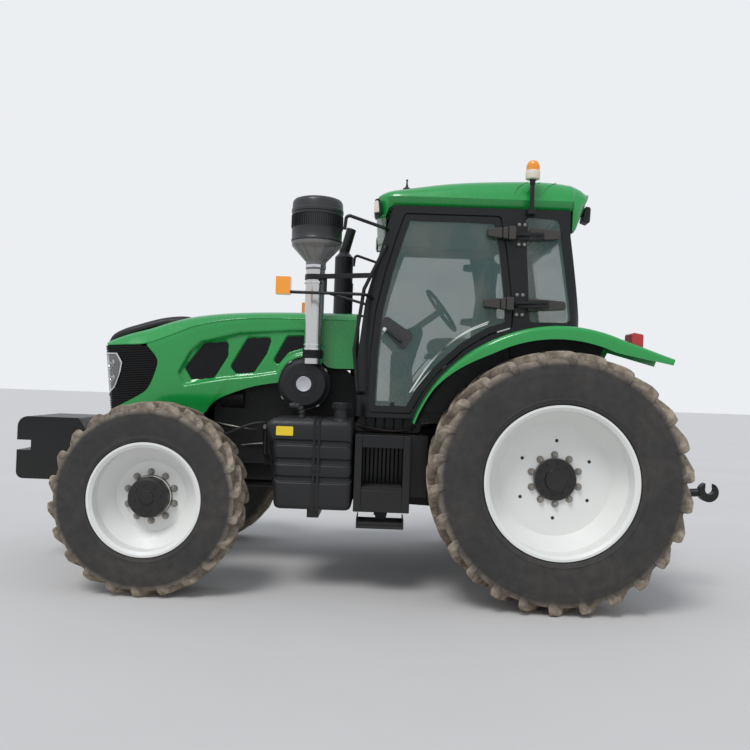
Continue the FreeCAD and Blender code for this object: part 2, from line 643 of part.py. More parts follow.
def cab_form(inset):
    """Cab's outer form, smaller all round by inset."""
    wire = rounded_wire(CAB_SIDE, lambda p: V(p.x, -CAB_HALF_WIDTH - 5, p.y))
    if inset != 0:
        wire = wire.makeOffset2D(-inset)
    side = Part.Face(wire).extrude(V(0, 2 * CAB_HALF_WIDTH + 10, 0))
    return side.common(cab_plan(inset, 1200, 2900))


DOOR_OUTLINE = [(1079, 2668, 50), (1129, 2512, 300), (1198, 2270, 500), (1259, 1987, 500),
                (1284, 1705, 300), (1293, 1354, 100), (1289, 1262, 20), (985, 1262, 20),
                (902, 1416, 200), (788, 1567, 400), (619, 1728, 300), (447, 1839, 200),
                (288, 1893, 30), (285, 2020, 200), (341, 2439, 300), (392, 2684, 30),
                (1060, 2684, 20)]
QUARTER_OUTLINE = [(170, 1940, 30), (205, 2460, 200), (225, 2680, 40), (-20, 2667, 50),
                   (-40, 2500, 200), (-125, 1945, 40)]
WINDSCREEN_OUTLINE = [(-690, 1520, 80), (690, 1520, 80), (640, 2680, 80), (-640, 2680, 80)]
REAR_WINDOW_OUTLINE = [(-620, 1960, 80), (620, 1960, 80), (590, 2660, 80), (-590, 2660, 80)]


def wall_prism(corners, gap=0.0):
    """Prism across the left side wall only, moved in by gap."""
    wire = rounded_wire(corners, lambda p: V(p.x, 500, p.y))
    if gap > 0:
        wire = wire.makeOffset2D(-gap)
    return Part.Face(wire).extrude(V(0, 400, 0))


def end_prism(corners, x_low, x_high, gap=0.0):
    wire = rounded_wire(corners, lambda p: V(x_low, p.x, p.y))
    if gap > 0:
        wire = wire.makeOffset2D(-gap)
    return Part.Face(wire).extrude(V(x_high - x_low, 0, 0))


def fender_arch(clearance):
    """Round the rear wheel, everything inside the fender's arc plus a clearance."""
    return rod(V(0, CAB_INNER_FLOOR_Y, REAR_TYRE_R), V(0, 1400, REAR_TYRE_R), FENDER_R + clearance)


def cab_shell(depth, thickness):
    return cut(cab_form(depth), cab_form(depth + thickness))


def cab_frame():
    """Pillars, sills and roof rails, left when the openings are cut from the cab's walls."""
    open_inside = cab_plan(CAB_HALF_WIDTH - CAB_INNER_FLOOR_Y, FLOOR_BOTTOM_Z - 20, FLOOR_TOP_Z)
    open_top = block(-20, 1060, -690, 690, CAB_EAVES_Z - 70, CAB_EAVES_Z + 10)
    shell = cut(cab_shell(0, CAB_WALL), open_inside, open_top)
    door = wall_prism(DOOR_OUTLINE)
    quarter = wall_prism(QUARTER_OUTLINE)
    arch = fender_arch(SEAT_GAP)
    tools = [door, quarter, arch]
    tools += [mirrored(tool) for tool in tools]
    tools.append(end_prism(WINDSCREEN_OUTLINE, 1000, 1500))
    tools.append(end_prism(REAR_WINDOW_OUTLINE, -300, 20))
    return cut(shell, *tools)


def cab_glass():
    """Windscreen, rear window and the two quarter windows."""
    skin = cab_shell(4, GLASS_THICKNESS)
    front = skin.common(end_prism(WINDSCREEN_OUTLINE, 1000, 1500, SEAT_GAP))
    rear = skin.common(end_prism(REAR_WINDOW_OUTLINE, -300, 20, SEAT_GAP))
    quarter = skin.common(wall_prism(QUARTER_OUTLINE, SEAT_GAP))
    return front.Solids + rear.Solids + pair(quarter)


def cab_floor():
    """Floor plate between the cab's sills."""
    return cab_plan(CAB_HALF_WIDTH - CAB_INNER_FLOOR_Y, FLOOR_BOTTOM_Z, FLOOR_TOP_Z)


def cab_roof():
    """Roof with its crowned top, front lip and raised back edge."""
    side = [(1275, CAB_EAVES_Z, 20), (1279, 2790, 60), (1180, 2856, 120), (762, 2909, 900),
            (431, 2934, 500), (94, 2946, 400), (-117, 2924, 150), (-246, 2872, 40),
            (-215, 2745, 30), (-190, CAB_EAVES_Z, 10)]
    body = side_prism(side, -820, 820)
    plan = plan_prism([(-260, -800, 170), (1290, -780, 200), (1290, 780, 200), (-260, 800, 170)],
                      2600, 3100)
    return body.common(plan)


DOOR_BORDER = 45.0
# Foot and head of the door's hinge line, which leans in and forward at the top
HINGE_FOOT = V(70, 872, 2060)
HINGE_HEAD = V(110, 827, 2540)
HINGE_PIN_R = 8.0


def hinge_barrel(at, below, above, radius):
    """Cylinder on the door's hinge line, from below to above the given point."""
    line = (HINGE_HEAD - HINGE_FOOT).normalize()
    return rod(at + line * below, at + line * above, radius)


def door(side):
    """Door frame of the whole wall thickness, with its window cut out and its hinge straps."""
    frame = cab_shell(0, CAB_WALL).common(wall_prism(DOOR_OUTLINE, PANEL_GAP))
    frame = cut(frame, wall_prism(DOOR_OUTLINE, PANEL_GAP + DOOR_BORDER),
                block(800, 1500, 0, CAB_HALF_WIDTH - CAB_WALL, FLOOR_BOTTOM_Z, FLOOR_TOP_Z + 10))
    pieces = []
    for at, pillar_x, end in ((HINGE_FOOT, 306, 344), (HINGE_HEAD, 382, 420)):
        rear = at.x - 12
        strap = plan_prism([(rear, at.y - 12, 6), (end, CAB_HALF_WIDTH - 3, 0),
                            (end, CAB_HALF_WIDTH + 22, 6), (at.x + 14, at.y + 14, 8),
                            (rear, at.y + 12, 8)], at.z + 3, at.z + 23)
        wall_side = block(0, pillar_x, 600, CAB_HALF_WIDTH + PANEL_GAP, at.z - 50, at.z + 60)
        pieces.append(cut(strap, wall_side))
        pieces.append(hinge_barrel(at, 3, 23, 17))
        pieces.append(hinge_barrel(at, -24, 10, HINGE_PIN_R))
    whole = fuse(frame, *pieces)
    return whole if side > 0 else mirrored(whole)


def door_hinges():
    """Brackets on the middle pillars that carry the doors' hinge pins."""
    brackets = []
    for at in (HINGE_FOOT, HINGE_HEAD):
        arm = plan_prism([(at.x - 14, at.y - 14, 8), (282, CAB_HALF_WIDTH - 14, 0),
                          (282, CAB_HALF_WIDTH + 10, 4), (at.x + 14, at.y + 14, 8),
                          (at.x - 14, at.y + 14, 8)], at.z - 24, at.z - 4)
        pillar_side = block(-300, 240, 600, CAB_HALF_WIDTH + 6, at.z - 50, at.z + 60)
        barrel = hinge_barrel(at, -22, -2, 17)
        bore = hinge_barrel(at, -40, 20, HINGE_PIN_R + RUNNING_GAP)
        brackets.append(cut(fuse(arm, barrel), pillar_side, bore, cab_form(0)))
    return [solid for bracket in brackets for solid in pair(bracket)]


def door_glass(side):
    pane = cab_shell(4, GLASS_THICKNESS).common(
        wall_prism(DOOR_OUTLINE, PANEL_GAP + DOOR_BORDER + SEAT_GAP))
    return pane if side > 0 else mirrored(pane)


def seat_base():
    """Suspension seat pedestal and pan."""
    foot = block(330, 720, -220, 220, FLOOR_TOP_Z, FLOOR_TOP_Z + 60)
    column = side_prism([(380, FLOOR_TOP_Z + 60, 0), (670, FLOOR_TOP_Z + 60, 0), (700, 1690, 0),
                         (350, 1690, 0)], -170, 170)
    pan = block(290, 850, -250, 250, 1690, 1720)
    return fuse(foot, column, pan)


def seat_cushion():
    """Seat cushion and backrest, standing apart."""
    cushion = side_prism([(340, 1720 + SEAT_GAP, 30), (850, 1720 + SEAT_GAP, 40), (850, 1830, 50),
                          (340, 1810, 30)], -240, 240)
    back = side_prism([(300, 1720 + SEAT_GAP, 20), (335, 1720 + SEAT_GAP, 15), (400, 1900, 200),
                       (420, 2330, 60), (440, 2520, 40), (340, 2520, 40), (320, 2300, 200),
                       (270, 1900, 100)], -235, 235)
    back = cut(back, side_prism([(330, 1700, 0), (900, 1700, 0), (900, 1850, 0), (330, 1835, 0)], -300, 300))
    return [cushion, back]


COLUMN_FOOT = V(1080, 0, FLOOR_TOP_Z)
WHEEL_HUB = V(745, 0, 2070)
WHEEL_AXIS = V(-0.80, 0, 0.60)


def steering_column():
    """Console and column up to the steering wheel's shaft."""
    console = side_prism([(930, FLOOR_TOP_Z, 0), (1130, FLOOR_TOP_Z, 0), (1130, 1700, 60),
                          (1040, 1900, 80), (900, 1960, 40), (880, 1880, 40), (960, 1600, 60)], -90, 90)
    start = WHEEL_HUB - WHEEL_AXIS * 240
    return fuse(console, rod(start, WHEEL_HUB - WHEEL_AXIS * 20, 26), rod(start, WHEEL_HUB, 10))


def steering_wheel():
    """Rim, three spokes and hub, turning on the column's shaft."""
    rim = Part.makeTorus(190, 14, WHEEL_HUB + WHEEL_AXIS * 12, WHEEL_AXIS)
    hub = rod(WHEEL_HUB - WHEEL_AXIS * 14, WHEEL_HUB + WHEEL_AXIS * 16, 38)
    across = V(0, 1, 0)
    along = WHEEL_AXIS.cross(across)
    spokes = []
    for turn in (90, 210, 330):
        angle = math.radians(turn)
        out = across * math.cos(angle) + along * math.sin(angle)
        spokes.append(rod(WHEEL_HUB + out * 30, WHEEL_HUB + WHEEL_AXIS * 12 + out * 186, 9))
    bore = rod(WHEEL_HUB - WHEEL_AXIS * 30, WHEEL_HUB + WHEEL_AXIS * SEAT_GAP, 10 + RUNNING_GAP)
    return cut(fuse(rim, hub, *spokes), bore)


# Fenders, tanks and steps


def polar(angle, radius):
    """Point round the rear axle, at an angle up from straight ahead."""
    turn = math.radians(angle)
    return radius * math.cos(turn), REAR_TYRE_R + radius * math.sin(turn)


FENDER_FRONT_DEG = 19.5
FENDER_REAR_DEG = 112.0
FENDER_TAIL = (-745.0, 1700.0)


def fender_band(outer_r, depth, y_low, y_high, tail_drop):
    """Arc over the tyre that runs on into a straight flare at the tail."""
    inner_r = outer_r - depth
    x0, z0 = polar(FENDER_FRONT_DEG, outer_r)
    x1, z1 = polar((FENDER_FRONT_DEG + FENDER_REAR_DEG) / 2, outer_r)
    x2, z2 = polar(FENDER_REAR_DEG, outer_r)
    x3, z3 = FENDER_TAIL
    x4, z4 = x3 - 4, z3 - tail_drop
    x5, z5 = polar(FENDER_REAR_DEG, inner_r)
    x6, z6 = polar((FENDER_FRONT_DEG + FENDER_REAR_DEG) / 2, inner_r)
    x7, z7 = polar(FENDER_FRONT_DEG, inner_r)

    def at(x, z):
        return V(x, y_low, z)

    edges = [Part.Arc(at(x0, z0), at(x1, z1), at(x2, z2)).toShape(),
             Part.LineSegment(at(x2, z2), at(x3, z3)).toShape(),
             Part.LineSegment(at(x3, z3), at(x4, z4)).toShape(),
             Part.LineSegment(at(x4, z4), at(x5, z5)).toShape(),
             Part.Arc(at(x5, z5), at(x6, z6), at(x7, z7)).toShape(),
             Part.LineSegment(at(x7, z7), at(x0, z0)).toShape()]
    return Part.Face(Part.Wire(edges)).extrude(V(0, y_high - y_low, 0))


def fenders():
    """Sheet over each rear tyre with a deep outer lip and an inner wall beside the cab."""
    top = fender_band(FENDER_R, FENDER_SHEET, CAB_INNER_FLOOR_Y, FENDER_OUTER_Y, 8)
    lip = fender_band(FENDER_R, 78, FENDER_OUTER_Y - 8, FENDER_OUTER_Y, 50)
    disc = rod(V(0, CAB_INNER_FLOOR_Y, REAR_TYRE_R), V(0, CAB_INNER_FLOOR_Y + FENDER_SHEET, REAR_TYRE_R),
               FENDER_R - 1)
    keep = block(-620, 930, 700, 800, FLOOR_BOTTOM_Z, 2000)
    wall = disc.common(keep)
    taper = plan_prism([(2000, FENDER_OUTER_Y + 10, 0), (450, FENDER_OUTER_Y + 10, 0),
                        (1000, 985, 0), (2000, 985, 0)], 900, 2200)
    whole = fuse(cut(fuse(top, lip), taper), wall)
    return pair(whole)


def side_tanks():
    """Moulded fuel tank on the left and its fellow on the right."""
    tank = side_prism([(1373, CARRIER_TOP_Z, 50), (1913, CARRIER_TOP_Z, 50), (1936, 1000, 40),
                       (1985, 1150, 40), (1955, 1205, 40), (1373, 1215, 50)], TANK_INNER_Y, TANK_OUTER_Y)
    neck = rod(V(1466, 860, 1180), V(1466, 860, 1330), 48)
    return pair(fuse(tank, neck))


TANK_INNER_Y = 430.0
TANK_OUTER_Y = 950.0
CARRIER_TOP_Z = 590.0
CARRIER_DEPTH = 58.0


def side_carriers():
    """Brackets that reach out under the tanks and steps, from the gearbox and the side rails."""
    low = CARRIER_TOP_Z - CARRIER_DEPTH
    rear = block(1140, 1220, 205, 700, low, CARRIER_TOP_Z)
    front = fuse(block(1600, 1680, RAIL_INNER_Y + 10, 900, low, CARRIER_TOP_Z),
                 block(1600, 1680, RAIL_INNER_Y + 10, RAIL_OUTER_Y - 10, low, RAIL_BOTTOM_Z))
    return pair(rear) + pair(front)


def steps():
    """Step box with its open recess, tread and hanging lower step."""
    box = side_prism([(977, CARRIER_TOP_Z, 30), (1362, CARRIER_TOP_Z, 30), (1362, 1100, 30),
                      (990, 1120, 30)], 560, 950)
    recess = side_prism([(1030, 762, 20), (1310, 762, 20), (1310, 1025, 20), (1030, 1038, 20)], 700, 1000)
    hanger = block(1130, 1230, 710, 900, 548, CARRIER_TOP_Z)
    lower = side_prism([(1035, 478, 15), (1350, 478, 15), (1360, 552, 15), (1035, 548, 15)], 710, 960)
    return pair(fuse(cut(box, recess), hanger, lower))


# Air intake and exhaust

STACK_X = 1714.0
STACK_Y = 500.0
STACK_R = 71.0
AIR_CLEANER_X = 1770.0
AIR_CLEANER_Z = 1449.0
AIR_CLEANER_R = 186.0


def air_cleaner():
    """Round housing lying across the tractor, from the engine's side to its end cap."""
    start = ENGINE_HALF_WIDTH
    profile = [(start, 0), (start, 150), (start + 30, AIR_CLEANER_R - 6), (470, AIR_CLEANER_R - 6),
               (470, AIR_CLEANER_R), (500, AIR_CLEANER_R), (525, AIR_CLEANER_R - 30), (525, 0)]
    return lathe(profile, V(AIR_CLEANER_X, 0, AIR_CLEANER_Z), ALONG_Y)


STACK_TOP_Z = 2300.0
STACK_BRACE_Z = 2245.0


def intake_stack():
    """Tube from the air cleaner up to the pre-cleaner, braced back to the cab's front pillar."""
    tube = rod(V(STACK_X, STACK_Y, AIR_CLEANER_Z), V(STACK_X, STACK_Y, STACK_TOP_Z), STACK_R)
    seat = lathe([(0, 0), (0, AIR_CLEANER_R + SEAT_GAP), (900, AIR_CLEANER_R + SEAT_GAP), (900, 0)],
                 V(AIR_CLEANER_X, 0, AIR_CLEANER_Z), ALONG_Y)
    band = rod(V(STACK_X, STACK_Y, STACK_BRACE_Z - 20), V(STACK_X, STACK_Y, STACK_BRACE_Z + 20),
               STACK_R + 7)
    brace = plan_prism([(STACK_X, STACK_Y - 14, 0), (1230, 728, 0), (1230, 764, 0),
                        (STACK_X, STACK_Y + 22, 0)], STACK_BRACE_Z - 16, STACK_BRACE_Z + 16)
    return cut(fuse(tube, band, brace), seat, cab_form(-SEAT_GAP))


def pre_cleaner():
    """Canister with rim bands over a funnel that narrows to the tube."""
    profile = [(STACK_TOP_Z, 0), (STACK_TOP_Z, 80), (2353, 80), (2496, 190), (2560, 193), (2790, 190),
               (2815, 175), (2824, 150), (2824, 0)]
    return lathe(profile, V(STACK_X, STACK_Y, 0), ALONG_Z)


EXHAUST_X = 1560.0
EXHAUST_Y = -500.0


def exhaust():
    """Silencer beside the hood on the right, with its pipe from the engine and slanted outlet."""
    silencer = lathe([(1640, 0), (1640, 45), (1700, 45), (1740, 80), (2560, 80), (2600, 45), (2640, 45),
                      (2640, 0)], V(EXHAUST_X, EXHAUST_Y, 0), ALONG_Z)
    outlet = rod(V(EXHAUST_X, EXHAUST_Y, 2600), V(EXHAUST_X - 55, EXHAUST_Y, 2810), 42)
    feed = bent_tube([V(EXHAUST_X, EXHAUST_Y, 1660), V(EXHAUST_X, EXHAUST_Y, 1440),
                      V(EXHAUST_X, -ENGINE_HALF_WIDTH, 1440)], 40, 70)
    return fuse(silencer, outlet, feed)


# Lamps and small carried pieces


def handrails():
    """Grab rails ahead of each front pillar."""
    y = CAB_HALF_WIDTH + 45
    rail = bent_tube([V(1190, CAB_HALF_WIDTH - 20, 2440), V(1196, y, 2440), V(1340, y, 2130),
                      V(1395, y, 1700), V(1360, y, 1400), V(1345, 700, 1400)], 13, 30)
    return pair(cut(rail, cab_form(-SEAT_GAP)))


ARM_Y = CAB_HALF_WIDTH + 60


def cab_arms():
    """Mirror arms at the roof and lamp arms at the front pillars."""
    mirror_arm = bent_tube([V(1180, CAB_HALF_WIDTH - 20, 2560), V(1215, ARM_Y, 2560),
                            V(1480, ARM_Y, 2645), V(1490, ARM_Y, 2540)], 12, 25)
    lamp_arm = bent_tube([V(1250, CAB_HALF_WIDTH - 60, 2060), V(1330, ARM_Y + 20, 2088),
                          V(1850, ARM_Y + 20, 2088)], 11, 30)
    skin = cab_form(-SEAT_GAP)
    return pair(cut(mirror_arm, skin)) + pair(cut(lamp_arm, skin))


def turn_lamps():
    """Lamps at the front ends of the lamp arms."""
    y = ARM_Y + 20
    return pair(block(1850, 1950, y - 40, y + 40, 2070, 2190))


def work_lamps():
    """Lamps hung under the roof's front edge."""
    return pair(block(1190, 1262, 560, 680, CAB_EAVES_Z - 100, CAB_EAVES_Z))


def tail_lamps():
    """Red lamps standing on the fenders' tails."""
    x_front, x_rear = -470.0, -545.0
    x0, z0 = polar(FENDER_REAR_DEG, FENDER_R)
    x1, z1 = FENDER_TAIL
    slope = (z1 - z0) / (x1 - x0)
    seat = [z0 + slope * (x - x0) for x in (x_rear, x_front)]
    return pair(side_prism([(x_rear, seat[0], 0), (x_front, seat[1], 0), (x_front, 1872, 12),
                            (x_rear, 1860, 12)], 900, 1060))


def beacon():
    """Flashing lamp on its post at the left of the roof."""
    post = rod(V(190, 850, 2690), V(190, 850, 2940), 16)
    base = lathe([(2930, 0), (2930, 50), (2990, 50), (2990, 46), (3030, 44), (3058, 28), (3066, 0)],
                 V(190, 850, 0), ALONG_Z)
    bracket = block(160, 220, CAB_HALF_WIDTH, 866, 2690, 2720)
    return fuse(post, base, bracket)


# Linkage


def link_point(along, side, lift=0.0):
    """Point on a lower link's centre line."""
    turn = math.radians(LINK_RISE_DEG)
    share = along / LINK_LENGTH
    y = LINK_FRONT_Y + (LINK_HOOK_Y - LINK_FRONT_Y) * share
    return V(LINK_PIVOT_X - along * math.cos(turn), side * y,
             LINK_PIVOT_Z + along * math.sin(turn) + lift)


def lower_links():
    """Forged links with an eye at the front, a rod pin and an open claw hook at the back."""
    links = []
    for side in (1, -1):
        out = V(0, side, 0)
        front = link_point(0, side)
        end = link_point(LINK_LENGTH, side)
        lug = link_point(LINK_ROD_AT, side)
        eye = rod(front - out * 24, front + out * 24, 42)
        bar = rod(link_point(20, side), link_point(LINK_LENGTH - 50, side), 30)
        claw = rod(end - out * 28, end + out * 28, HOOK_REACH)
        pin = rod(lug, lug + out * (ROD_FOOT_OUT + 38), ROD_PIN_R)
        seat = rod(end + V(-6, -60, 22), end + V(-6, 60, 22), 36)
        mouth = block(end.x - 40, end.x + 28, end.y - 60, end.y + 60, end.z + 22, end.z + 100)
        bore = rod(front - out * 60, front + out * 60, LINK_PIN_R + RUNNING_GAP)
        links.append(cut(fuse(eye, bar, claw, pin), seat, mouth, bore))
    return links


ROD_PIN_R = 16.0
ROD_FOOT_OUT = 42.0
ROD_EYE_THICK = 30.0
ROD_HEAD_OUT = 9.0
LIFT_ARM_INNER_Y = 300.0


def lift_end(side):
    """Where a lift arm's end pin starts, parallel to the lower link's rod pin."""
    turn = math.radians(LINK_RISE_DEG)
    return V(LINK_PIVOT_X - LINK_ROD_AT * math.cos(turn), side * LIFT_ARM_OUTER_Y,
             LIFT_PIVOT_Z + LINK_ROD_AT * math.sin(turn))


def lift_arms():
    """Arms on the cross shaft's ends, each with the pin that its lift rod hangs from."""
    arms = []
    for side in (1, -1):
        out = V(0, side, 0)
        hub = V(LINK_PIVOT_X, 0, LIFT_PIVOT_Z)
        end = lift_end(side)
        inner = end - out * (LIFT_ARM_OUTER_Y - LIFT_ARM_INNER_Y)
        boss = rod(hub + out * (REAR_HOUSING_Y + 10), hub + out * LIFT_ARM_OUTER_Y, 62)
        eye = rod(inner, end, 34)
        side_view = [(LINK_PIVOT_X + 10, LIFT_PIVOT_Z - 50, 0), (LINK_PIVOT_X + 10, LIFT_PIVOT_Z + 55, 0),
                     (end.x, end.z + 33, 0), (end.x, end.z - 33, 0)]
        low, high = sorted((side * LIFT_ARM_INNER_Y, side * LIFT_ARM_OUTER_Y))
        plate = side_prism(side_view, low, high)
        pin = rod(inner, end + out * (ROD_HEAD_OUT + ROD_EYE_THICK + 8), ROD_PIN_R)
        bore = rod(hub, hub + out * 500, LIFT_PIN_R + RUNNING_GAP)
        arms.append(cut(fuse(boss, eye, plate, pin), bore))
    return arms


def lift_rods():
    """Threaded rods from the lift arms down to the lower links."""
    rods = []
    for side in (1, -1):
        out = V(0, side, 0)
        head = lift_end(side) + out * (ROD_HEAD_OUT + ROD_EYE_THICK / 2)
        foot = link_point(LINK_ROD_AT, side) + out * (ROD_FOOT_OUT + ROD_EYE_THICK / 2)
        half = out * (ROD_EYE_THICK / 2)
        along = (foot - head).normalize()
        head_eye = rod(head - half, head + half, 32)
        foot_eye = rod(foot - half, foot + half, 32)
        shank = rod(head + along * 20, foot - along * 20, 15)
        sleeve = rod(head + along * 130, foot - along * 190, 26)
        head_bore = rod(head - half * 2, head + half * 2, ROD_PIN_R + RUNNING_GAP)
        foot_bore = rod(foot - half * 2, foot + half * 2, ROD_PIN_R + 0.6)
        rods.append(cut(fuse(head_eye, foot_eye, shank, sleeve), head_bore, foot_bore))
    return rods


TOP_LINK_LENGTH = 620.0
TOP_LINK_STOWED_DEG = 75.0
TOP_LINK_EYE_R = 12.9


def top_link():
    """Turnbuckle link that stands folded up against the back of the cab."""
    turn = math.radians(TOP_LINK_STOWED_DEG)
    along = V(-math.cos(turn), 0, math.sin(turn))
    foot = V(TOP_PIVOT_X, 0, TOP_PIVOT_Z)
    head = foot + along * TOP_LINK_LENGTH
    half = ALONG_Y * TOP_LINK_HALF
    foot_eye = rod(foot - half, foot + half, 30)
    head_eye = rod(head - half, head + half, 32)
    shank = rod(foot + along * 20, head - along * 20, 16)
    sleeve = rod(foot + along * 150, head - along * 170, 26)
    foot_bore = rod(foot - half * 2, foot + half * 2, TOP_PIN_R + RUNNING_GAP)
    head_bore = rod(head - half * 2, head + half * 2, TOP_LINK_EYE_R)
    return cut(fuse(foot_eye, head_eye, shank, sleeve), foot_bore, head_bore)


DRAWBAR_PIN_R = 16.5
DRAWBAR_PIN_X = -720.0
DRAWBAR_THICK = 40.0


def drawbar():
    """Bar under the gearbox with its hanger and a hole for the hitch pin."""
    high = CASE_BOTTOM_Z - 20
    low = high - DRAWBAR_THICK
    bar = plan_prism([(-770, -48, 40), (200, -38, 10), (200, 38, 10), (-770, 48, 40)], low, high)
    hangers = [block(-360, -260, -90, 90, low - 20, CASE_BOTTOM_Z), block(100, 180, -60, 60, high, CASE_BOTTOM_Z)]
    pin = rod(V(DRAWBAR_PIN_X, 0, low - 10), V(DRAWBAR_PIN_X, 0, high + 10), DRAWBAR_PIN_R)
    return cut(fuse(bar, *hangers), pin)


NODES = [
    ("rear_rim_left", rear_rim(1)),
    ("rear_rim_right", rear_rim(-1)),
    ("rear_tyre_left", rear_tyre(1)),
    ("rear_tyre_right", rear_tyre(-1)),
    ("front_rim_left", front_rim(1)),
    ("front_rim_right", front_rim(-1)),
    ("front_tyre_left", front_tyre(1)),
    ("front_tyre_right", front_tyre(-1)),
    ("front_axle", front_axle()),
    ("knuckle_left", knuckle(1)),
    ("knuckle_right", knuckle(-1)),
    ("tie_rod", tie_rod()),
    ("rear_axles", rear_axles()),
    ("rear_housing", rear_housing()),
    ("engine_block", engine_block()),
    ("radiator", radiator()),
    ("front_frame", front_frame()),
    ("front_weight", front_weight()),
    ("drive_shaft", drive_shaft()),
    ("hood_shell", hood_shell()),
    ("nose_grille", nose_grille()),
    ("side_vents", side_vents()),
    ("headlamps", headlamps()),
    ("cab_frame", cab_frame()),
    ("cab_glass", cab_glass()),
    ("cab_floor", cab_floor()),
    ("cab_roof", cab_roof()),
    ("door_left", door(1)),
    ("door_right", door(-1)),
    ("door_glass_left", door_glass(1)),
    ("door_glass_right", door_glass(-1)),
    ("door_hinges", door_hinges()),
    ("seat_base", seat_base()),
    ("seat_cushion", seat_cushion()),
    ("steering_column", steering_column()),
    ("steering_wheel", steering_wheel()),
    ("fenders", fenders()),
    ("side_tanks", side_tanks()),
    ("side_carriers", side_carriers()),
    ("steps", steps()),
    ("air_cleaner", air_cleaner()),
    ("intake_stack", intake_stack()),
    ("pre_cleaner", pre_cleaner()),
    ("exhaust", exhaust()),
    ("handrails", handrails()),
    ("cab_arms", cab_arms()),
    ("turn_lamps", turn_lamps()),
    ("work_lamps", work_lamps()),
    ("tail_lamps", tail_lamps()),
    ("beacon", beacon()),
    ("lower_links", lower_links()),
    ("lift_arms", lift_arms()),
    ("lift_rods", lift_rods()),
    ("top_link", top_link()),
    ("drawbar", drawbar()),
]

os.makedirs("parts", exist_ok=True)
for node_name, node_shape in NODES:
    write_node(node_name, node_shape)
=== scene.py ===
"""Finish and small parts of a farm tractor, built around its CAD frame. All sizes are metres."""
import json
import math

import bmesh
import bpy
from mathutils import Matrix, Vector


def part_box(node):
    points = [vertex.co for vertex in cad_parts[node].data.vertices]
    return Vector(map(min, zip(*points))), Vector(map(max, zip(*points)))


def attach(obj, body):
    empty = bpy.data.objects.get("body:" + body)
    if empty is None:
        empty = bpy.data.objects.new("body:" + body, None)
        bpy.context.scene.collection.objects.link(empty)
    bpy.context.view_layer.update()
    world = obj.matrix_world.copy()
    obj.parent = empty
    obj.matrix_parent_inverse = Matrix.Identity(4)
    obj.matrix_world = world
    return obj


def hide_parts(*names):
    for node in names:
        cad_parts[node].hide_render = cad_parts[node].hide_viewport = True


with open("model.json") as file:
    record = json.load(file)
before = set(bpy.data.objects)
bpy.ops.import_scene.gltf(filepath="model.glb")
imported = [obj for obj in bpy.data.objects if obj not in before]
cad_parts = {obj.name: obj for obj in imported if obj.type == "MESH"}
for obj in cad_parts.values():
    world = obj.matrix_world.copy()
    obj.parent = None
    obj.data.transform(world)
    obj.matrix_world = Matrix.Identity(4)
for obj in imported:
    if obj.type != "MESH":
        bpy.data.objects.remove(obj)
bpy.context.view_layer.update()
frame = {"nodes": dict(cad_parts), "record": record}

NODES = frame["nodes"]
X, Y, Z = Vector((1, 0, 0)), Vector((0, 1, 0)), Vector((0, 0, 1))


# Camera


CAMERA_AT = Vector((-0.147, 6.285, 1.465))
CAMERA_YAW, CAMERA_PITCH, CAMERA_ROLL = 0.010, 0.012, 0.035
IMAGE_WIDTH = 750
FOCAL_PIXELS = 779.6
SENSOR = 36.0


def add_object(name, data):
    """Object that shows a mesh or curve, or holds a camera or lamp."""
    made = bpy.data.objects.new(name, data)
    bpy.context.scene.collection.objects.link(made)
    return made


def add_camera():
    """Camera that looks at the tractor's left side, turned as the photograph's was."""
    look = Matrix.Rotation(CAMERA_YAW, 3, "Z") @ Vector((0, -1, 0))
    right = Matrix.Rotation(CAMERA_YAW, 3, "Z") @ Vector((-1, 0, 0))
    ahead = look * math.cos(CAMERA_PITCH) + Z * math.sin(CAMERA_PITCH)
    up = Z * math.cos(CAMERA_PITCH) - look * math.sin(CAMERA_PITCH)
    across = right * math.cos(CAMERA_ROLL) + up * math.sin(CAMERA_ROLL)
    above = up * math.cos(CAMERA_ROLL) - right * math.sin(CAMERA_ROLL)
    data = bpy.data.cameras.new("camera")
    data.sensor_width = SENSOR
    data.lens = FOCAL_PIXELS / IMAGE_WIDTH * SENSOR
    camera = add_object("camera", data)
    turned = Matrix((across, above, -ahead)).transposed().to_4x4()
    camera.matrix_world = Matrix.Translation(CAMERA_AT) @ turned
    bpy.context.scene.camera = camera


add_camera()


# Materials


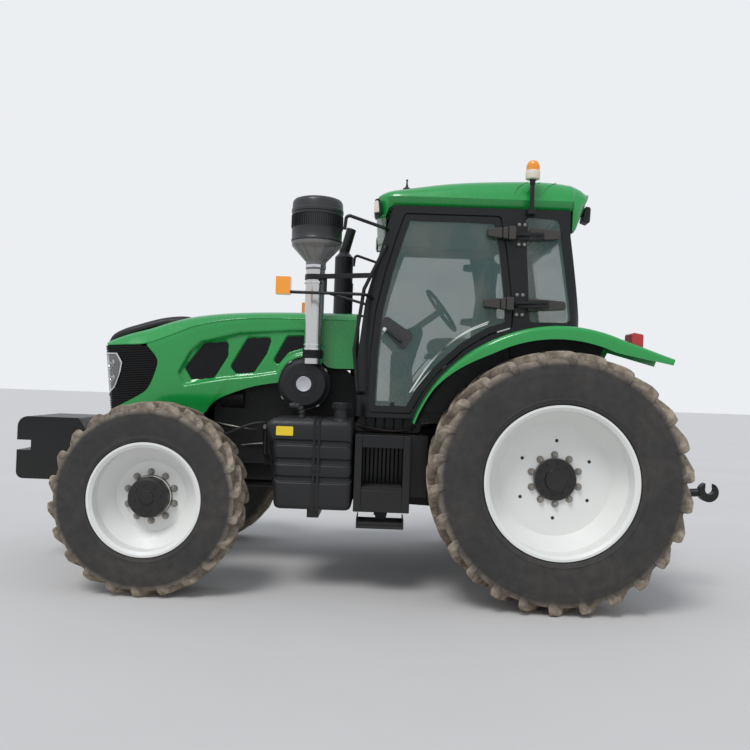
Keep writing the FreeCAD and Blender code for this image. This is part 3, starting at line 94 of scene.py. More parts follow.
class Graph:
    """Short names for building the nodes of a material or of the sky."""

    def __init__(self, owner):
        self.owner = owner
        owner.use_nodes = True
        self.tree = owner.node_tree
        self.shader = self.tree.nodes.get("Principled BSDF")
        self.places = self.tree.nodes.new("ShaderNodeTexCoord").outputs
        self.coords = self.places["Object"]

    def node(self, kind, **inputs):
        made = self.tree.nodes.new(kind)
        for key, value in inputs.items():
            self.put(made.inputs[key.replace("_", " ")], value)
        return made

    def put(self, socket, value):
        if isinstance(value, bpy.types.NodeSocket):
            self.tree.links.new(value, socket)
        else:
            socket.default_value = value

    def noise(self, scale, detail=3.0):
        made = self.node("ShaderNodeTexNoise", Scale=scale, Detail=detail, Roughness=0.55, Vector=self.coords)
        return made.outputs["Fac"]

    def ramp(self, value, low, high, low_out=0.0, high_out=1.0):
        made = self.node("ShaderNodeMapRange", Value=value, From_Min=low, From_Max=high,
                         To_Min=low_out, To_Max=high_out)
        return made.outputs["Result"]

    def math(self, operation, a, b=0.0):
        made = self.tree.nodes.new("ShaderNodeMath")
        made.operation = operation
        self.put(made.inputs[0], a)
        self.put(made.inputs[1], b)
        return made.outputs[0]

    def mix(self, factor, a, b):
        made = self.tree.nodes.new("ShaderNodeMix")
        made.data_type = "RGBA"
        self.put(made.inputs["Factor"], factor)
        self.put(made.inputs[6], a)
        self.put(made.inputs[7], b)
        return made.outputs[2]

    def split(self, vector):
        return self.node("ShaderNodeSeparateXYZ", Vector=vector).outputs

    def facing_up(self):
        return self.split(self.node("ShaderNodeNewGeometry").outputs["Normal"])["Z"]

    def bump(self, height, strength, distance):
        made = self.node("ShaderNodeBump", Strength=strength, Distance=distance, Height=height)
        self.put(self.shader.inputs["Normal"], made.outputs["Normal"])

    def done(self, **inputs):
        for key, value in inputs.items():
            self.put(self.shader.inputs[key.replace("_", " ")], value)
        return self.owner


def rgb(red, green, blue):
    return (red, green, blue, 1.0)


def shade(colour, share):
    return rgb(*(min(1.0, part * share) for part in colour[:3]))


DUST = rgb(0.30, 0.26, 0.21)
MUD_DARK = rgb(0.175, 0.138, 0.102)
MUD_LIGHT = rgb(0.440, 0.370, 0.290)
# Turns of the weave's wave over one metre, in radians
THREADS = 2600.0
RUBBER_DARK = rgb(0.030, 0.0285, 0.0275)
RUBBER_GREY = rgb(0.040, 0.038, 0.0365)


def finish(name, colour, roughness, dust=0.2, dust_top=1.3, grain=0.0, grain_scale=900.0, tone=0.08,
           ledges=0.5, rough_play=0.06, **sockets):
    """Painted, moulded or cast surface with uneven tone and a film of dust low down and on ledges."""
    g = Graph(bpy.data.materials.new(name))
    broad, fine = g.noise(1.7, 3.0), g.noise(24.0, 5.0)
    base = g.mix(g.ramp(broad, 0.3, 0.7), shade(colour, 1 - tone), shade(colour, 1 + tone))
    low_down = g.ramp(g.split(g.coords)["Z"], dust_top, 0.0)
    ledge = g.math("MULTIPLY", g.ramp(g.facing_up(), 0.45, 1.0), ledges)
    spread = g.math("MAXIMUM", low_down, ledge)
    cover = g.math("MULTIPLY", g.ramp(fine, 0.25, 0.75, 0.55, 1.0), spread)
    film = g.math("MULTIPLY", g.math("MULTIPLY", cover, g.ramp(broad, 0.3, 0.7, 0.7, 1.0)), dust)
    rough = g.math("ADD", g.ramp(fine, 0.3, 0.7, roughness - rough_play, roughness + rough_play),
                   g.math("MULTIPLY", film, 0.4))
    if grain > 0:
        g.bump(g.noise(grain_scale, 2.0), grain, 0.0004)
    return g.done(Base_Color=g.mix(film, base, DUST), Roughness=rough, **sockets)


def rubber(name, radius, lug_height):
    """Tyre rubber: grey-black walls, dry brown mud on the lugs and thicker between them."""
    g = Graph(bpy.data.materials.new(name))
    place = g.split(g.coords)
    out = g.math("SQRT", g.math("ADD", g.math("MULTIPLY", place["X"], place["X"]),
                                g.math("MULTIPLY", place["Z"], place["Z"])))
    broad, fine, grit = g.noise(3.0, 3.0), g.noise(17.0, 6.0), g.noise(160.0, 4.0)
    clean = g.mix(g.ramp(fine, 0.3, 0.7), RUBBER_DARK, RUBBER_GREY)
    crumbs = g.math("ADD", g.math("MULTIPLY", fine, 0.6), g.math("MULTIPLY", grit, 0.4))
    mud = g.mix(g.ramp(crumbs, 0.35, 0.65), MUD_DARK, MUD_LIGHT)
    tread = g.ramp(out, radius - 1.9 * lug_height, radius - 0.75 * lug_height)
    patch = g.ramp(g.math("ADD", g.math("MULTIPLY", fine, 0.65), g.math("MULTIPLY", broad, 0.35)), 0.34, 0.56)
    cover = g.math("MULTIPLY", tread, g.ramp(patch, 0.0, 1.0, 0.62, 0.97))
    wall = g.math("MULTIPLY", g.ramp(broad, 0.35, 0.75), 0.07)
    base = g.mix(g.math("MAXIMUM", cover, wall), clean, mud)
    g.bump(g.math("ADD", g.math("MULTIPLY", fine, 0.5), g.math("MULTIPLY", grit, 0.5)), 0.35, 0.003)
    return g.done(Base_Color=base, Roughness=g.ramp(cover, 0.0, 1.0, 0.62, 0.95), Specular_IOR_Level=0.35)


def clear(name, colour, cover, film=0.05, roughness=0.03):
    """Pane or lens that shows what lies behind it, with a faint uneven film."""
    g = Graph(bpy.data.materials.new(name))
    dust = g.ramp(g.noise(4.0, 5.0), 0.4, 0.75, 0.0, film)
    return g.done(Base_Color=g.mix(g.ramp(dust, 0.0, film, 0.0, 0.5), colour, DUST),
                  Roughness=g.ramp(g.noise(9.0), 0.3, 0.7, roughness, roughness + 0.03),
                  Alpha=g.math("ADD", dust, cover), Specular_IOR_Level=0.8)


def cloth(name, colour):
    """Woven seat cover with a fine crossed weave and slight fading."""
    g = Graph(bpy.data.materials.new(name))
    place = g.split(g.coords)
    weave = g.math("MULTIPLY", g.math("SINE", g.math("MULTIPLY", place["X"], THREADS)),
                   g.math("SINE", g.math("MULTIPLY", g.math("ADD", place["Y"], place["Z"]), THREADS)))
    base = g.mix(g.ramp(g.noise(6.0, 4.0), 0.3, 0.7), shade(colour, 0.7), colour)
    g.bump(weave, 0.35, 0.0006)
    return g.done(Base_Color=base, Roughness=g.ramp(g.noise(30.0), 0.3, 0.7, 0.85, 0.98),
                  Sheen_Weight=0.35, Sheen_Roughness=0.5)


MATERIALS = {
    "green_paint": finish("green_paint", rgb(0.008, 0.300, 0.052), 0.26, dust=0.10, dust_top=1.0, tone=0.05,
                          ledges=0.3, Coat_Weight=0.6, Coat_Roughness=0.08),
    "white_paint": finish("white_paint", rgb(0.80, 0.80, 0.77), 0.40, dust=0.16, dust_top=1.0, tone=0.03),
    "tyre_rubber": finish("tyre_rubber", rgb(0.028, 0.026, 0.025), 0.75, dust=0.3, dust_top=1.7),
    "rear_tread": rubber("rear_tread", 0.865, 0.052),
    "front_tread": rubber("front_tread", 0.648, 0.044),
    "black_paint": finish("black_paint", rgb(0.007, 0.0073, 0.0078), 0.34, dust=0.07, dust_top=1.1,
                          Specular_IOR_Level=0.4),
    "black_moulding": finish("black_moulding", rgb(0.012, 0.0125, 0.0135), 0.46, dust=0.07, dust_top=1.0,
                             grain=0.2, Specular_IOR_Level=0.4),
    "dark_cast_iron": finish("dark_cast_iron", rgb(0.008, 0.0083, 0.0088), 0.50, dust=0.12, grain=0.5,
                             grain_scale=260.0, tone=0.15, Specular_IOR_Level=0.35),
    "bare_steel": finish("bare_steel", rgb(0.33, 0.31, 0.28), 0.42, dust=0.2, Metallic=0.9),
    "stainless": finish("stainless", rgb(0.70, 0.69, 0.67), 0.17, dust=0.04, Metallic=1.0),
    "chrome": finish("chrome", rgb(0.80, 0.80, 0.80), 0.09, dust=0.03, Metallic=1.0, rough_play=0.03),
    "dark_mesh": finish("dark_mesh", rgb(0.007, 0.007, 0.0075), 0.50, dust=0.06, Specular_IOR_Level=0.3),
    "dark_grey_panel": finish("dark_grey_panel", rgb(0.030, 0.031, 0.032), 0.36, dust=0.10, grain=0.1),
    "brown_moulding": finish("brown_moulding", rgb(0.042, 0.036, 0.032), 0.5, dust=0.15, grain=0.25),
    "soft_rubber": finish("soft_rubber", rgb(0.015, 0.015, 0.016), 0.62, dust=0.2, grain=0.15),
    "pale_moulding": finish("pale_moulding", rgb(0.72, 0.68, 0.55), 0.40, dust=0.15, dust_top=0.5),
    "yellow_plate": finish("yellow_plate", rgb(0.85, 0.62, 0.02), 0.38, dust=0.10, dust_top=1.0),
    "silver_disc": finish("silver_disc", rgb(0.60, 0.61, 0.62), 0.33, dust=0.08, Metallic=0.6),
    "lining": finish("lining", rgb(0.25, 0.25, 0.24), 0.75, dust=0.0, grain=0.3, grain_scale=500.0),
    "funnel_plastic": clear("funnel_plastic", rgb(0.16, 0.165, 0.17), 0.80, 0.05, 0.16),
    "clear_glass": clear("clear_glass", rgb(0.085, 0.165, 0.152), 0.36),
    "lamp_lens": clear("lamp_lens", rgb(0.55, 0.57, 0.58), 0.16, 0.08, 0.04),
    "amber_lens": finish("amber_lens", rgb(0.85, 0.30, 0.012), 0.16, dust=0.05, Coat_Weight=0.8,
                         Emission_Color=rgb(0.9, 0.3, 0.02), Emission_Strength=0.12),
    "red_lens": finish("red_lens", rgb(0.45, 0.012, 0.012), 0.18, dust=0.05, Coat_Weight=0.8),
    "seat_fabric": cloth("seat_fabric", rgb(0.040, 0.040, 0.043)),
}

# Slots of the CAD nodes that look darker in the photograph than their record says
NODE_SLOTS = {"lower_links": "black_paint"}
for subpart in frame["record"]["subparts"]:
    mesh = NODES[subpart["node"]].data
    mesh.materials.clear()
    mesh.materials.append(MATERIALS[NODE_SLOTS.get(subpart["node"], subpart["material_slot"])])


# Ways to make a piece


SIDES = ((1, "left"), (-1, "right"))
ORIGIN = Vector((0, 0, 0))
REAR_HUB, FRONT_HUB = [(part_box(rim)[0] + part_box(rim)[1]) / 2 for rim in ("rear_rim_left", "front_rim_left")]


def both_sides(*makers):
    """Runs each maker for the left side and then for the right."""
    for make in makers:
        for side, hand in SIDES:
            make(side, hand)


def spot(x, y, z):
    """Place given by its distance ahead of the rear axle, to the left and above the ground."""
    return Vector((REAR_HUB.x + x, y, z))


def spots(side, points):
    """Places of (x, y, z) points, mirrored to the right where side is -1."""
    return [spot(x, y * side, z) for x, y, z in points]


def circle(centre, axis, radius, steps, start=0.0):
    """Points round a circle that faces along axis."""
    side = Z.cross(axis) if abs(axis.z) < 0.9 else X.copy()
    side = (side - axis * side.dot(axis)).normalized()
    up = axis.cross(side)
    turns = [start + 2 * math.pi * k / steps for k in range(steps)]
    return [centre + (side * math.cos(t) + up * math.sin(t)) * radius for t in turns]


def ways(axis, count, start=0.0):
    """Directions spread round an axis, each with the one across it."""
    return [(way, axis.cross(way)) for way in circle(ORIGIN, axis, 1.0, count, start)]


def rounded(corners, steps=5):
    """Closed outline through (a, b, radius) corners, each rounded by an arc."""
    out = []
    count = len(corners)
    for i, (a, b, radius) in enumerate(corners):
        here = Vector((a, b))
        before = Vector(corners[i - 1][:2])
        after = Vector(corners[(i + 1) % count][:2])
        if radius <= 0:
            out.append(here)
            continue
        back, on = (before - here).normalized(), (after - here).normalized()
        half = math.acos(max(-1.0, min(1.0, back.dot(on)))) / 2
        middle = here + (back + on).normalized() * radius / math.sin(half)
        start = here + back * radius / math.tan(half) - middle
        end = here + on * radius / math.tan(half) - middle
        sweep = math.atan2(start.x * end.y - start.y * end.x, start.dot(end))
        for k in range(steps + 1):
            cos, sin = math.cos(sweep * k / steps), math.sin(sweep * k / steps)
            out.append(middle + Vector((start.x * cos - start.y * sin, start.x * sin + start.y * cos)))
    return out


class Form:
    """Points and faces of one piece, gathered shape by shape; side -1 puts plates and blocks on the right."""

    def __init__(self, side=1):
        self.points = []
        self.faces = []
        self.side = side

    def add(self, points, faces):
        first = len(self.points)
        self.points += [Vector(point) for point in points]
        self.faces += [[first + i for i in face] for face in faces]
        return self

    def moved(self, offset):
        self.points = [point + offset for point in self.points]
        return self

    def rings(self, rings, loop=False):
        """Skin over rings with the same number of points, closed at both ends or into a loop."""
        n = len(rings[0])
        count = len(rings)
        faces = []
        for i in range(count if loop else count - 1):
            a, b = i * n, (i + 1) % count * n
            faces += [[a + k, a + (k + 1) % n, b + (k + 1) % n, b + k] for k in range(n)]
        if not loop:
            faces += [list(range(n))[::-1], [(count - 1) * n + k for k in range(n)]]
        return self.add([point for ring in rings for point in ring], faces)

    def turn(self, profile, centre, axis, steps=48, loop=False):
        """Turned shape from (along, radius) points."""
        return self.rings([circle(centre + axis * along, axis, radius, steps)
                           for along, radius in profile], loop)

    def ring(self, centre, axis, radius, thick, steps=48, sides=8):
        """Round bar bent into a ring."""
        turns = [2 * math.pi * k / sides for k in range(sides)]
        return self.turn([(thick * math.sin(t), radius + thick * math.cos(t)) for t in turns],
                         centre, axis, steps, loop=True)

    def band(self, centre, low, high, inner, outer):
        """Upright band round a tube."""
        return self.turn([(low, inner), (low, outer), (high, outer), (high, inner)], centre, Z, loop=True)

    def fins(self, centre, count, low, high, inner, outer, half, taper=1.0):
        """Upright fins spread round a body, narrower at their outer edge by taper."""
        for way, across in ways(Z, count):
            self.rings([[centre + way * out + Z * up + across * half * share for out, share in
                         ((inner, -1), (inner, 1), (outer, taper), (outer, -taper))] for up in (low, high)])
        return self

    def prism(self, outline, place, low, high):
        """Outline of 2-D points drawn out from low to high; place(a, b, depth) puts a point."""
        return self.rings([[place(p[0], p[1], depth) for p in outline] for depth in (low, high)])

    def side_plate(self, corners, low, high):
        """Plate drawn as (x, z, radius) seen from the left, from y low to y high."""
        return self.prism(rounded(corners), lambda a, b, depth: spot(a, depth * self.side, b), low, high)

    def block(self, x_low, x_high, y_low, y_high, z_low, z_high, corner=0):
        return self.side_plate([(x_low, z_low, corner), (x_high, z_low, corner), (x_high, z_high, corner),
                                (x_low, z_high, corner)], y_low, y_high)

    def hex_bolt(self, base, axis, radius, height, washer=True, stud=0.0):
        """Hexagon head on its washer, with the stud's end where it has one."""
        if washer:
            self.turn([(0, radius * 1.3), (height * 0.15, radius * 1.3)], base, axis, 16)
        self.turn([(0, radius), (height * 0.85, radius), (height, radius * 0.86)], base, axis, 6)
        if stud > 0:
            end = height + stud
            self.turn([(0, radius * 0.5), (end - 0.002, radius * 0.5), (end, radius * 0.4)], base, axis, 12)
        return self

    def piece(self, name, slot, body, replaced=(), bevel=0.0, origin=ORIGIN, sharp=32, material=None):
        """Finished object with its material, riding on a body."""
        mesh = bpy.data.meshes.new(name)
        mesh.from_pydata([point - origin for point in self.points], [], self.faces)
        tidy = bmesh.new()
        tidy.from_mesh(mesh)
        bmesh.ops.recalc_face_normals(tidy, faces=tidy.faces)
        tidy.to_mesh(mesh)
        tidy.free()
        mesh.shade_smooth()
        mesh.set_sharp_from_angle(angle=math.radians(sharp))
        mesh.materials.append(MATERIALS[material or slot])
        made = add_object(name, mesh)
        made.location = origin
        if bevel > 0:
            edge = made.modifiers.new("edges", "BEVEL")
            edge.width = bevel
            edge.segments = 2
            edge.limit_method = "ANGLE"
            edge.angle_limit = math.radians(sharp)
            edge.harden_normals = True
        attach(made, body)
        if replaced:
            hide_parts(*replaced)
        return made


def hoses(name, routes, radius, slot, body, material=None):
    """Fixed hoses, pipes or cables, each a smooth line through its points."""
    curve = bpy.data.curves.new(name, "CURVE")
    curve.dimensions = "3D"
    curve.bevel_depth = radius
    curve.bevel_resolution = 3
    curve.use_fill_caps = True
    for route in routes:
        line = curve.splines.new("NURBS")
        line.points.add(len(route) - 1)
        for point, place in zip(line.points, route):
            point.co = (*place, 1.0)
        line.order_u = 3
        line.use_endpoint_u = True
        line.resolution_u = 6
    curve.materials.append(MATERIALS[material or slot])
    made = add_object(name, curve)
    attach(made, body)
    return made


# Wheels


# Columns: hub, tyre radius, width, rim flange radius, rim width, lugs a side, lug height, how far
# the lugs run down the wall, and the wheel disc's distance out from the hub's middle
WHEELS = {
    "rear": (REAR_HUB, 0.865, 0.470, 0.508, 0.406, 26, 0.052, 0.130, -0.019),
    "front": (FRONT_HUB, 0.648, 0.378, 0.381, 0.330, 22, 0.044, 0.118, -0.008),
}
# Hub cap's turned profile, and the count, circle and distance out of its bolts
HUB_CAPS = {
    "rear": ([(-0.001, 0.1450), (0.019, 0.1450), (0.0235, 0.1410), (0.0250, 0.1330), (0.0250, 0.0800),
              (0.0280, 0.0740), (0.0500, 0.0720), (0.0540, 0.0680), (0.0545, 0.0600)], 10, 0.113, 0.0250),
    "front": ([(-0.001, 0.1450), (0.010, 0.1450), (0.014, 0.1400), (0.060, 0.1385), (0.092, 0.1335),
               (0.098, 0.1300), (0.1035, 0.1190), (0.1045, 0.1130), (0.1045, 0.0500), (0.1080, 0.0460),
               (0.1130, 0.0430), (0.1140, 0.0380)], 8, 0.090, 0.1045),
}
CAP_BOLT_R, CAP_BOLT_HIGH = 0.009, 0.006
NUT_CIRCLE, NUTS, NUT_R, NUT_HIGH, STUD = 0.166, 10, 0.0195, 0.024, 0.012
# Circle and count of the rear wheel disc's holes, and the turned profile of the thin black disc that paints the
# shade seen in each
DISC_HOLE_CIRCLE, DISC_HOLES = 0.262, 6
DISC_HOLE = [(-0.001, 0.012), (0.0006, 0.012), (0.0006, 0.0095), (0.0002, 0.009)]
LUG_CORNER = 0.009
# Tyre wall: share of the way from the rim flange to the tread floor, and from lip to full width
WALL = [(0.03, 0.0), (0.07, 0.35), (0.105, 0.50), (0.115, 0.72), (0.135, 0.72), (0.145, 0.56), (0.26, 0.80),
        (0.42, 0.97), (0.56, 1.0), (0.66, 0.98), (0.675, 1.0), (0.70, 1.0), (0.715, 0.93), (0.80, 0.82),
        (0.88, 0.55), (0.94, 0.05), (0.98, -0.9)]


def lug_path(half, radius, floor, lug_height, lug_foot):
    """Along and out of a lug's top, along and out of its foot, its turn and its half width."""
    return [(-0.02 * half, radius - 0.003, -0.02 * half, floor - 0.01, 0.09, 0.105),
            (0.22 * half, radius, 0.22 * half, floor - 0.01, 0.29, 0.110),
            (0.44 * half, radius, 0.44 * half, floor - 0.01, 0.50, 0.118),
            (0.66 * half, radius - 0.001, 0.66 * half, floor - 0.012, 0.70, 0.128),
            (0.84 * half, radius - 0.003, 0.80 * half, floor - 0.02, 0.85, 0.138),
            (half - 0.014, radius - 0.012, 0.84 * half, floor - 0.03, 0.95, 0.145),
            (half - 0.003, radius - 0.032, 0.84 * half, floor - 0.045, 0.99, 0.142),
            (half, radius - lug_height - 0.012, 0.86 * half, floor - 0.060, 1.01, 0.132),
            (half, radius - 0.75 * lug_foot, 0.88 * half, radius - 0.85 * lug_foot, 1.03, 0.120),
            (half - 0.005, radius - lug_foot, 0.90 * half, radius - lug_foot - 0.004, 1.04, 0.105)]


def tyre(side, radius, width, flange, rim_width, lugs, lug_height, lug_foot):
    """Tyre with rounded walls and curved lugs that lean away from the middle by turns."""
    half, bead, floor = width / 2, rim_width / 2 - 0.0003, radius - lug_height
    lip = bead + 0.018
    profile = [(bead, flange - 0.020), (bead, flange + 0.0045)]
    profile += [(lip + (half - lip) * share, flange + (floor - flange) * up) for up, share in WALL]
    profile += [(half * 0.80, floor), (half * 0.4, floor + 0.002), (0, floor + 0.003)]
    profile += [(-along, out) for along, out in profile[-2::-1]]
    form = Form().turn(profile, ORIGIN, Y, lugs * 6, loop=True)
    pitch = 2 * math.pi / lugs
    corner = LUG_CORNER / (radius * pitch)

    def at(along, out, turns):
        angle = (turns - 0.80) * pitch - math.pi / 2
        return Vector((out * math.cos(angle), along * side, out * math.sin(angle)))

    for k in range(lugs):
        for way, shift in ((1, 0), (-1, 0.5)):
            rings = []
            for along, out, foot_along, foot_out, turns, wide in lug_path(half, radius, floor, lug_height,
                                                                          lug_foot):
                turns += k + shift
                share = min(0.5, LUG_CORNER / math.hypot(along - foot_along, out - foot_out))
                low_along = along + (foot_along - along) * share
                low_out = out + (foot_out - out) * share
                foot = wide + 0.05
                rings.append([at(way * foot_along, foot_out, turns - foot),
                              at(way * low_along, low_out, turns - wide),
                              at(way * along, out, turns - wide + corner),
                              at(way * along, out, turns + wide - corner),
                              at(way * low_along, low_out, turns + wide),
                              at(way * foot_along, foot_out, turns + foot)])
            form.rings(rings)
    return form


def hub_dress(end, side, disc):
    """Black cap, its bolts, the wheel nuts, and thin black discs that paint the shade in the small holes of one
    wheel, at its hub.
    """
    out = Y * side
    centre = Vector((0, disc * side, 0))
    profile, count, bolt_circle, face = HUB_CAPS[end]
    cap = Form().turn(profile, centre, out, 64)
    bolts, nuts, hole_shade = Form(), Form(), Form()
    for place in circle(centre + out * face, out, bolt_circle, count, 0.2):
        bolts.hex_bolt(place, out, CAP_BOLT_R, CAP_BOLT_HIGH, washer=False)
    for place in circle(centre, out, NUT_CIRCLE, NUTS, 0.35):
        nuts.hex_bolt(place, out, NUT_R, NUT_HIGH, stud=STUD)
    parts = [("cap", cap, "black_paint", 0), ("cap_bolts", bolts, "black_paint", 0),
             ("nuts", nuts, "bare_steel", 0.0015)]
    if end == "rear":
        # Black discs in the disc's holes: painted shade where the holes show the dark space behind the disc
        for place in circle(centre, out, DISC_HOLE_CIRCLE, DISC_HOLES, 0.5):
            hole_shade.turn(DISC_HOLE, place, out, 16)
        parts.append(("hole_shade", hole_shade, "black_paint", 0))
    return parts


def add_wheels():
    for end, (hub, *sizes, disc) in WHEELS.items():
        for side, hand in SIDES:
            body = f"{hand}_{end}_wheel"
            centre = Vector((hub.x, hub.y * side, hub.z))
            tyre(side, *sizes).moved(centre).piece(f"{end}_tread_{hand}", "tyre_rubber", body,
                                                   [f"{end}_tyre_{hand}"], origin=centre, sharp=28,
                                                   material=f"{end}_tread")
            for part, form, slot, bevel in hub_dress(end, side, disc):
                form.moved(centre).piece(f"{end}_{part}_{hand}", slot, body, origin=centre, bevel=bevel)


add_wheels()


# Air intake and exhaust


STACK = spot(1.714, 0.500, 0)
STACK_R = 0.071
STACK_TOP = 2.300
AIR_END = spot(1.770, 0.530, 1.449)
FUNNEL = [(0.0, 0.0735), (0.052, 0.0745), (0.060, 0.0790), (0.170, 0.1800), (0.178, 0.1840), (0.196, 0.1860),
          (0.208, 0.1820)]
BOWL = [(0.200, 0.1800), (0.204, 0.1890), (0.214, 0.1905), (0.222, 0.1860), (0.292, 0.1865), (0.300, 0.1900),
        (0.304, 0.1850), (0.392, 0.1850), (0.396, 0.1900), (0.404, 0.1900), (0.408, 0.1860), (0.414, 0.1860),
        (0.418, 0.1925), (0.438, 0.1935), (0.444, 0.1890), (0.488, 0.1870), (0.502, 0.1820), (0.514, 0.1720),
        (0.521, 0.1540), (0.524, 0.1200)]
# Rings of the air cleaner: distance behind its end, radius and thickness
CLEANER_RINGS = [(0.030, 0.188, 0.0035), (0.058, 0.188, 0.0035), (0.100, 0.1845, 0.004),
                 (0.150, 0.1845, 0.004), (0.006, 0.086, 0.003), (0.019, 0.150, 0.003)]
SILENCER = spot(1.540, -0.500, 0)
SILENCER_R = 0.062
BEACON_FOOT = spot(0.190, 0.850, 2.690)


def add_pre_cleaner():
    """Canister with a finned band and a lid, over a see-through funnel with its clamp."""
    base = STACK + Z * STACK_TOP
    funnel = Form().turn(FUNNEL, base, Z, 72)
    for way, across in ways(Z, 12):
        rib = [base + X * 0.001 + way * out + Z * up for out, up in ((0.077, 0.063), (0.1795, 0.173))]
        across = across * 0.0022
        funnel.rings([[end - across, end + across, end + across + way * 0.004, end - across + way * 0.004]
                      for end in rib])
    funnel.piece("pre_cleaner_funnel", "dark_grey_panel", "chassis", ["pre_cleaner"],
                 material="funnel_plastic")
    Form().turn(BOWL, base, Z, 96).piece("pre_cleaner_bowl", "dark_grey_panel", "chassis")
    fins = Form().fins(base, 72, 0.304, 0.394, 0.184, 0.1925, 0.0028, 0.5)
    fins.piece("pre_cleaner_fins", "black_moulding", "chassis")
    clamp = Form().band(base, 0.012, 0.032, 0.0735, 0.0765)
    clamp.block(1.700, 1.728, 0.572, 0.594, STACK_TOP + 0.014, STACK_TOP + 0.030)
    clamp.hex_bolt(spot(1.729, 0.583, STACK_TOP + 0.022), X, 0.007, 0.006)
    clamp.piece("pre_cleaner_clamp", "stainless", "chassis", material="chrome")


def add_air_cleaner():
    """Rings, latches and blank disc of the air cleaner."""
    rings = Form()
    for behind, radius, thick in CLEANER_RINGS:
        rings.ring(AIR_END - Y * behind, Y, radius, thick, 72)
    for way, across in ways(Y, 24, 0.1):
        rings.rings([[AIR_END - Y * 0.0185 + way * out + across * shift + Y * lift for shift, lift in
                      ((-0.003, 0), (0.003, 0), (0.0018, 0.004), (-0.0018, 0.004))]
                     for out in (0.134, 0.166)])
    rings.piece("air_cleaner_rings", "black_moulding", "chassis")
    disc = Form().turn([(0.0, 0.056), (0.0015, 0.056), (0.002, 0.055), (0.002, 0.050), (0.0014, 0.049)],
                       AIR_END, Y)
    disc.piece("air_cleaner_disc", "black_moulding", "chassis", material="silver_disc")
    latches = Form()
    for way, across in ways(Y, 4, 0.6):
        latches.rings([[AIR_END - Y * back + way * out + across * shift for shift, out in
                        ((-0.014, 0.186), (0.014, 0.186), (0.014, 0.1965), (-0.014, 0.1965))]
                       for back in (0.020, 0.080)])
    latches.piece("air_cleaner_latches", "bare_steel", "chassis", bevel=0.003)


def add_intake():
    """Intake tube with its ribbed hose, clamps and seam, its brace bar and its stay."""
    profile = [(1.640, STACK_R + 0.001)]
    for k in range(5):
        low = 1.652 + 0.010 * k
        profile += [(low + run, STACK_R + out) for run, out in
                    ((0, 0.001), (0.003, 0.006), (0.006, 0.006), (0.009, 0.001))]
    hose = Form().turn(profile + [(1.702, STACK_R + 0.001)], STACK, Z)
    hose.piece("intake_hose", "black_moulding", "chassis", material="soft_rubber")
    clamps = Form()
    for up in (1.704, 1.736, 2.195):
        clamps.band(STACK, up, up + 0.012, STACK_R + 0.0065, STACK_R + 0.0085)
        clamps.hex_bolt(STACK + Vector((0.03, STACK_R + 0.004, up + 0.006)), Y, 0.006, 0.010)
    clamps.piece("intake_clamps", "stainless", "chassis", material="chrome")
    tube = Form().turn([(1.600, STACK_R), (2.298, STACK_R), (2.299, STACK_R - 0.003),
                        (2.270, STACK_R - 0.003)], STACK, Z, 64)
    tube.piece("intake_tube", "stainless", "chassis", ["intake_stack"])
    brace = Form().band(STACK, 2.222, 2.262, STACK_R + 0.0015, STACK_R + 0.007)
    foot, head = spot(1.700, 0.575, 0), spot(1.262, 0.748, 0)
    across = (head - foot).cross(Z).normalized() * 0.012
    brace.rings([[end - across + Z * 2.224, end + across + Z * 2.224, end + across + Z * 2.258,
                  end - across + Z * 2.258] for end in (foot, head)])
    brace.piece("intake_brace", "black_paint", "chassis", bevel=0.002)
    stay = Form()
    for foot, head, radius in ((spot(1.640, 0.575, 2.130), spot(1.275, 0.735, 2.020), 0.010),
                               (spot(1.632, 0.580, 2.128), spot(1.632, 0.580, 2.235), 0.012)):
        stay.turn([(0, radius), ((head - foot).length, radius)], foot, (head - foot).normalized(), 16)
    stay.piece("intake_stay", "black_paint", "chassis")
    seam = Form().band(STACK, 1.760, 1.764, STACK_R + 0.0004, STACK_R + 0.0016)
    seam.piece("intake_seam", "stainless", "chassis")


def add_exhaust():
    """Pierced heat shield round the silencer."""
    shield = Form()
    for k in range(26):
        shield.ring(SILENCER + Z * (1.730 + 0.024 * k), Z, SILENCER_R + 0.004, 0.003, 40, 6)
    shield.fins(SILENCER, 20, 1.728, 2.335, SILENCER_R, SILENCER_R + 0.0035, 0.0035)
    shield.piece("exhaust_shield", "black_paint", "chassis")


def add_beacon():
    """Amber dome on a pale base, on the black post at the roof."""
    dome = Form().turn([(0.302, 0.0455), (0.330, 0.0450), (0.348, 0.0425), (0.362, 0.0360), (0.371, 0.0250),
                        (0.3755, 0.0100)], BEACON_FOOT, Z)
    for k in range(4):
        dome.ring(BEACON_FOOT + Z * (0.308 + 0.009 * k), Z, 0.0450, 0.0016, 48, 6)
    dome.piece("beacon_dome", "amber_lens", "chassis", ["beacon"])
    base = Form().turn([(0.240, 0.030), (0.244, 0.048), (0.252, 0.0498), (0.296, 0.0498), (0.300, 0.0480),
                        (0.3025, 0.0460)], BEACON_FOOT, Z)
    base.piece("beacon_base", "amber_lens", "chassis", material="pale_moulding")
    post = Form().turn([(0, 0.0158), (0.205, 0.0158), (0.210, 0.0200), (0.232, 0.0200), (0.241, 0.0270)],
                       BEACON_FOOT, Z, 24)
    post.block(0.161, 0.219, 0.791, 0.866, BEACON_FOOT.z, BEACON_FOOT.z + 0.030)
    post.hex_bolt(BEACON_FOOT + Vector((-0.015, 0, 0.030)), Z, 0.006, 0.005)
    post.piece("beacon_post", "black_paint", "chassis", bevel=0.002)


add_pre_cleaner()
add_air_cleaner()
add_intake()
add_exhaust()
add_beacon()


# Hood


NOSE = 3.345
HOOD_LENGTH = 1.945
HOOD_FOOT = 1.185
NOSE_LEAN = 0.057
NOSE_CORNER = 0.120
NOSE_FLAT = 0.244
CREASE_START = 0.356
SHELL = 0.004
RECESS_FLOOR = 0.387
VENT_FLOOR = 0.372
CLEANER_AT = Vector((1.575, 0.264))
CLEANER_ARCH = 0.208
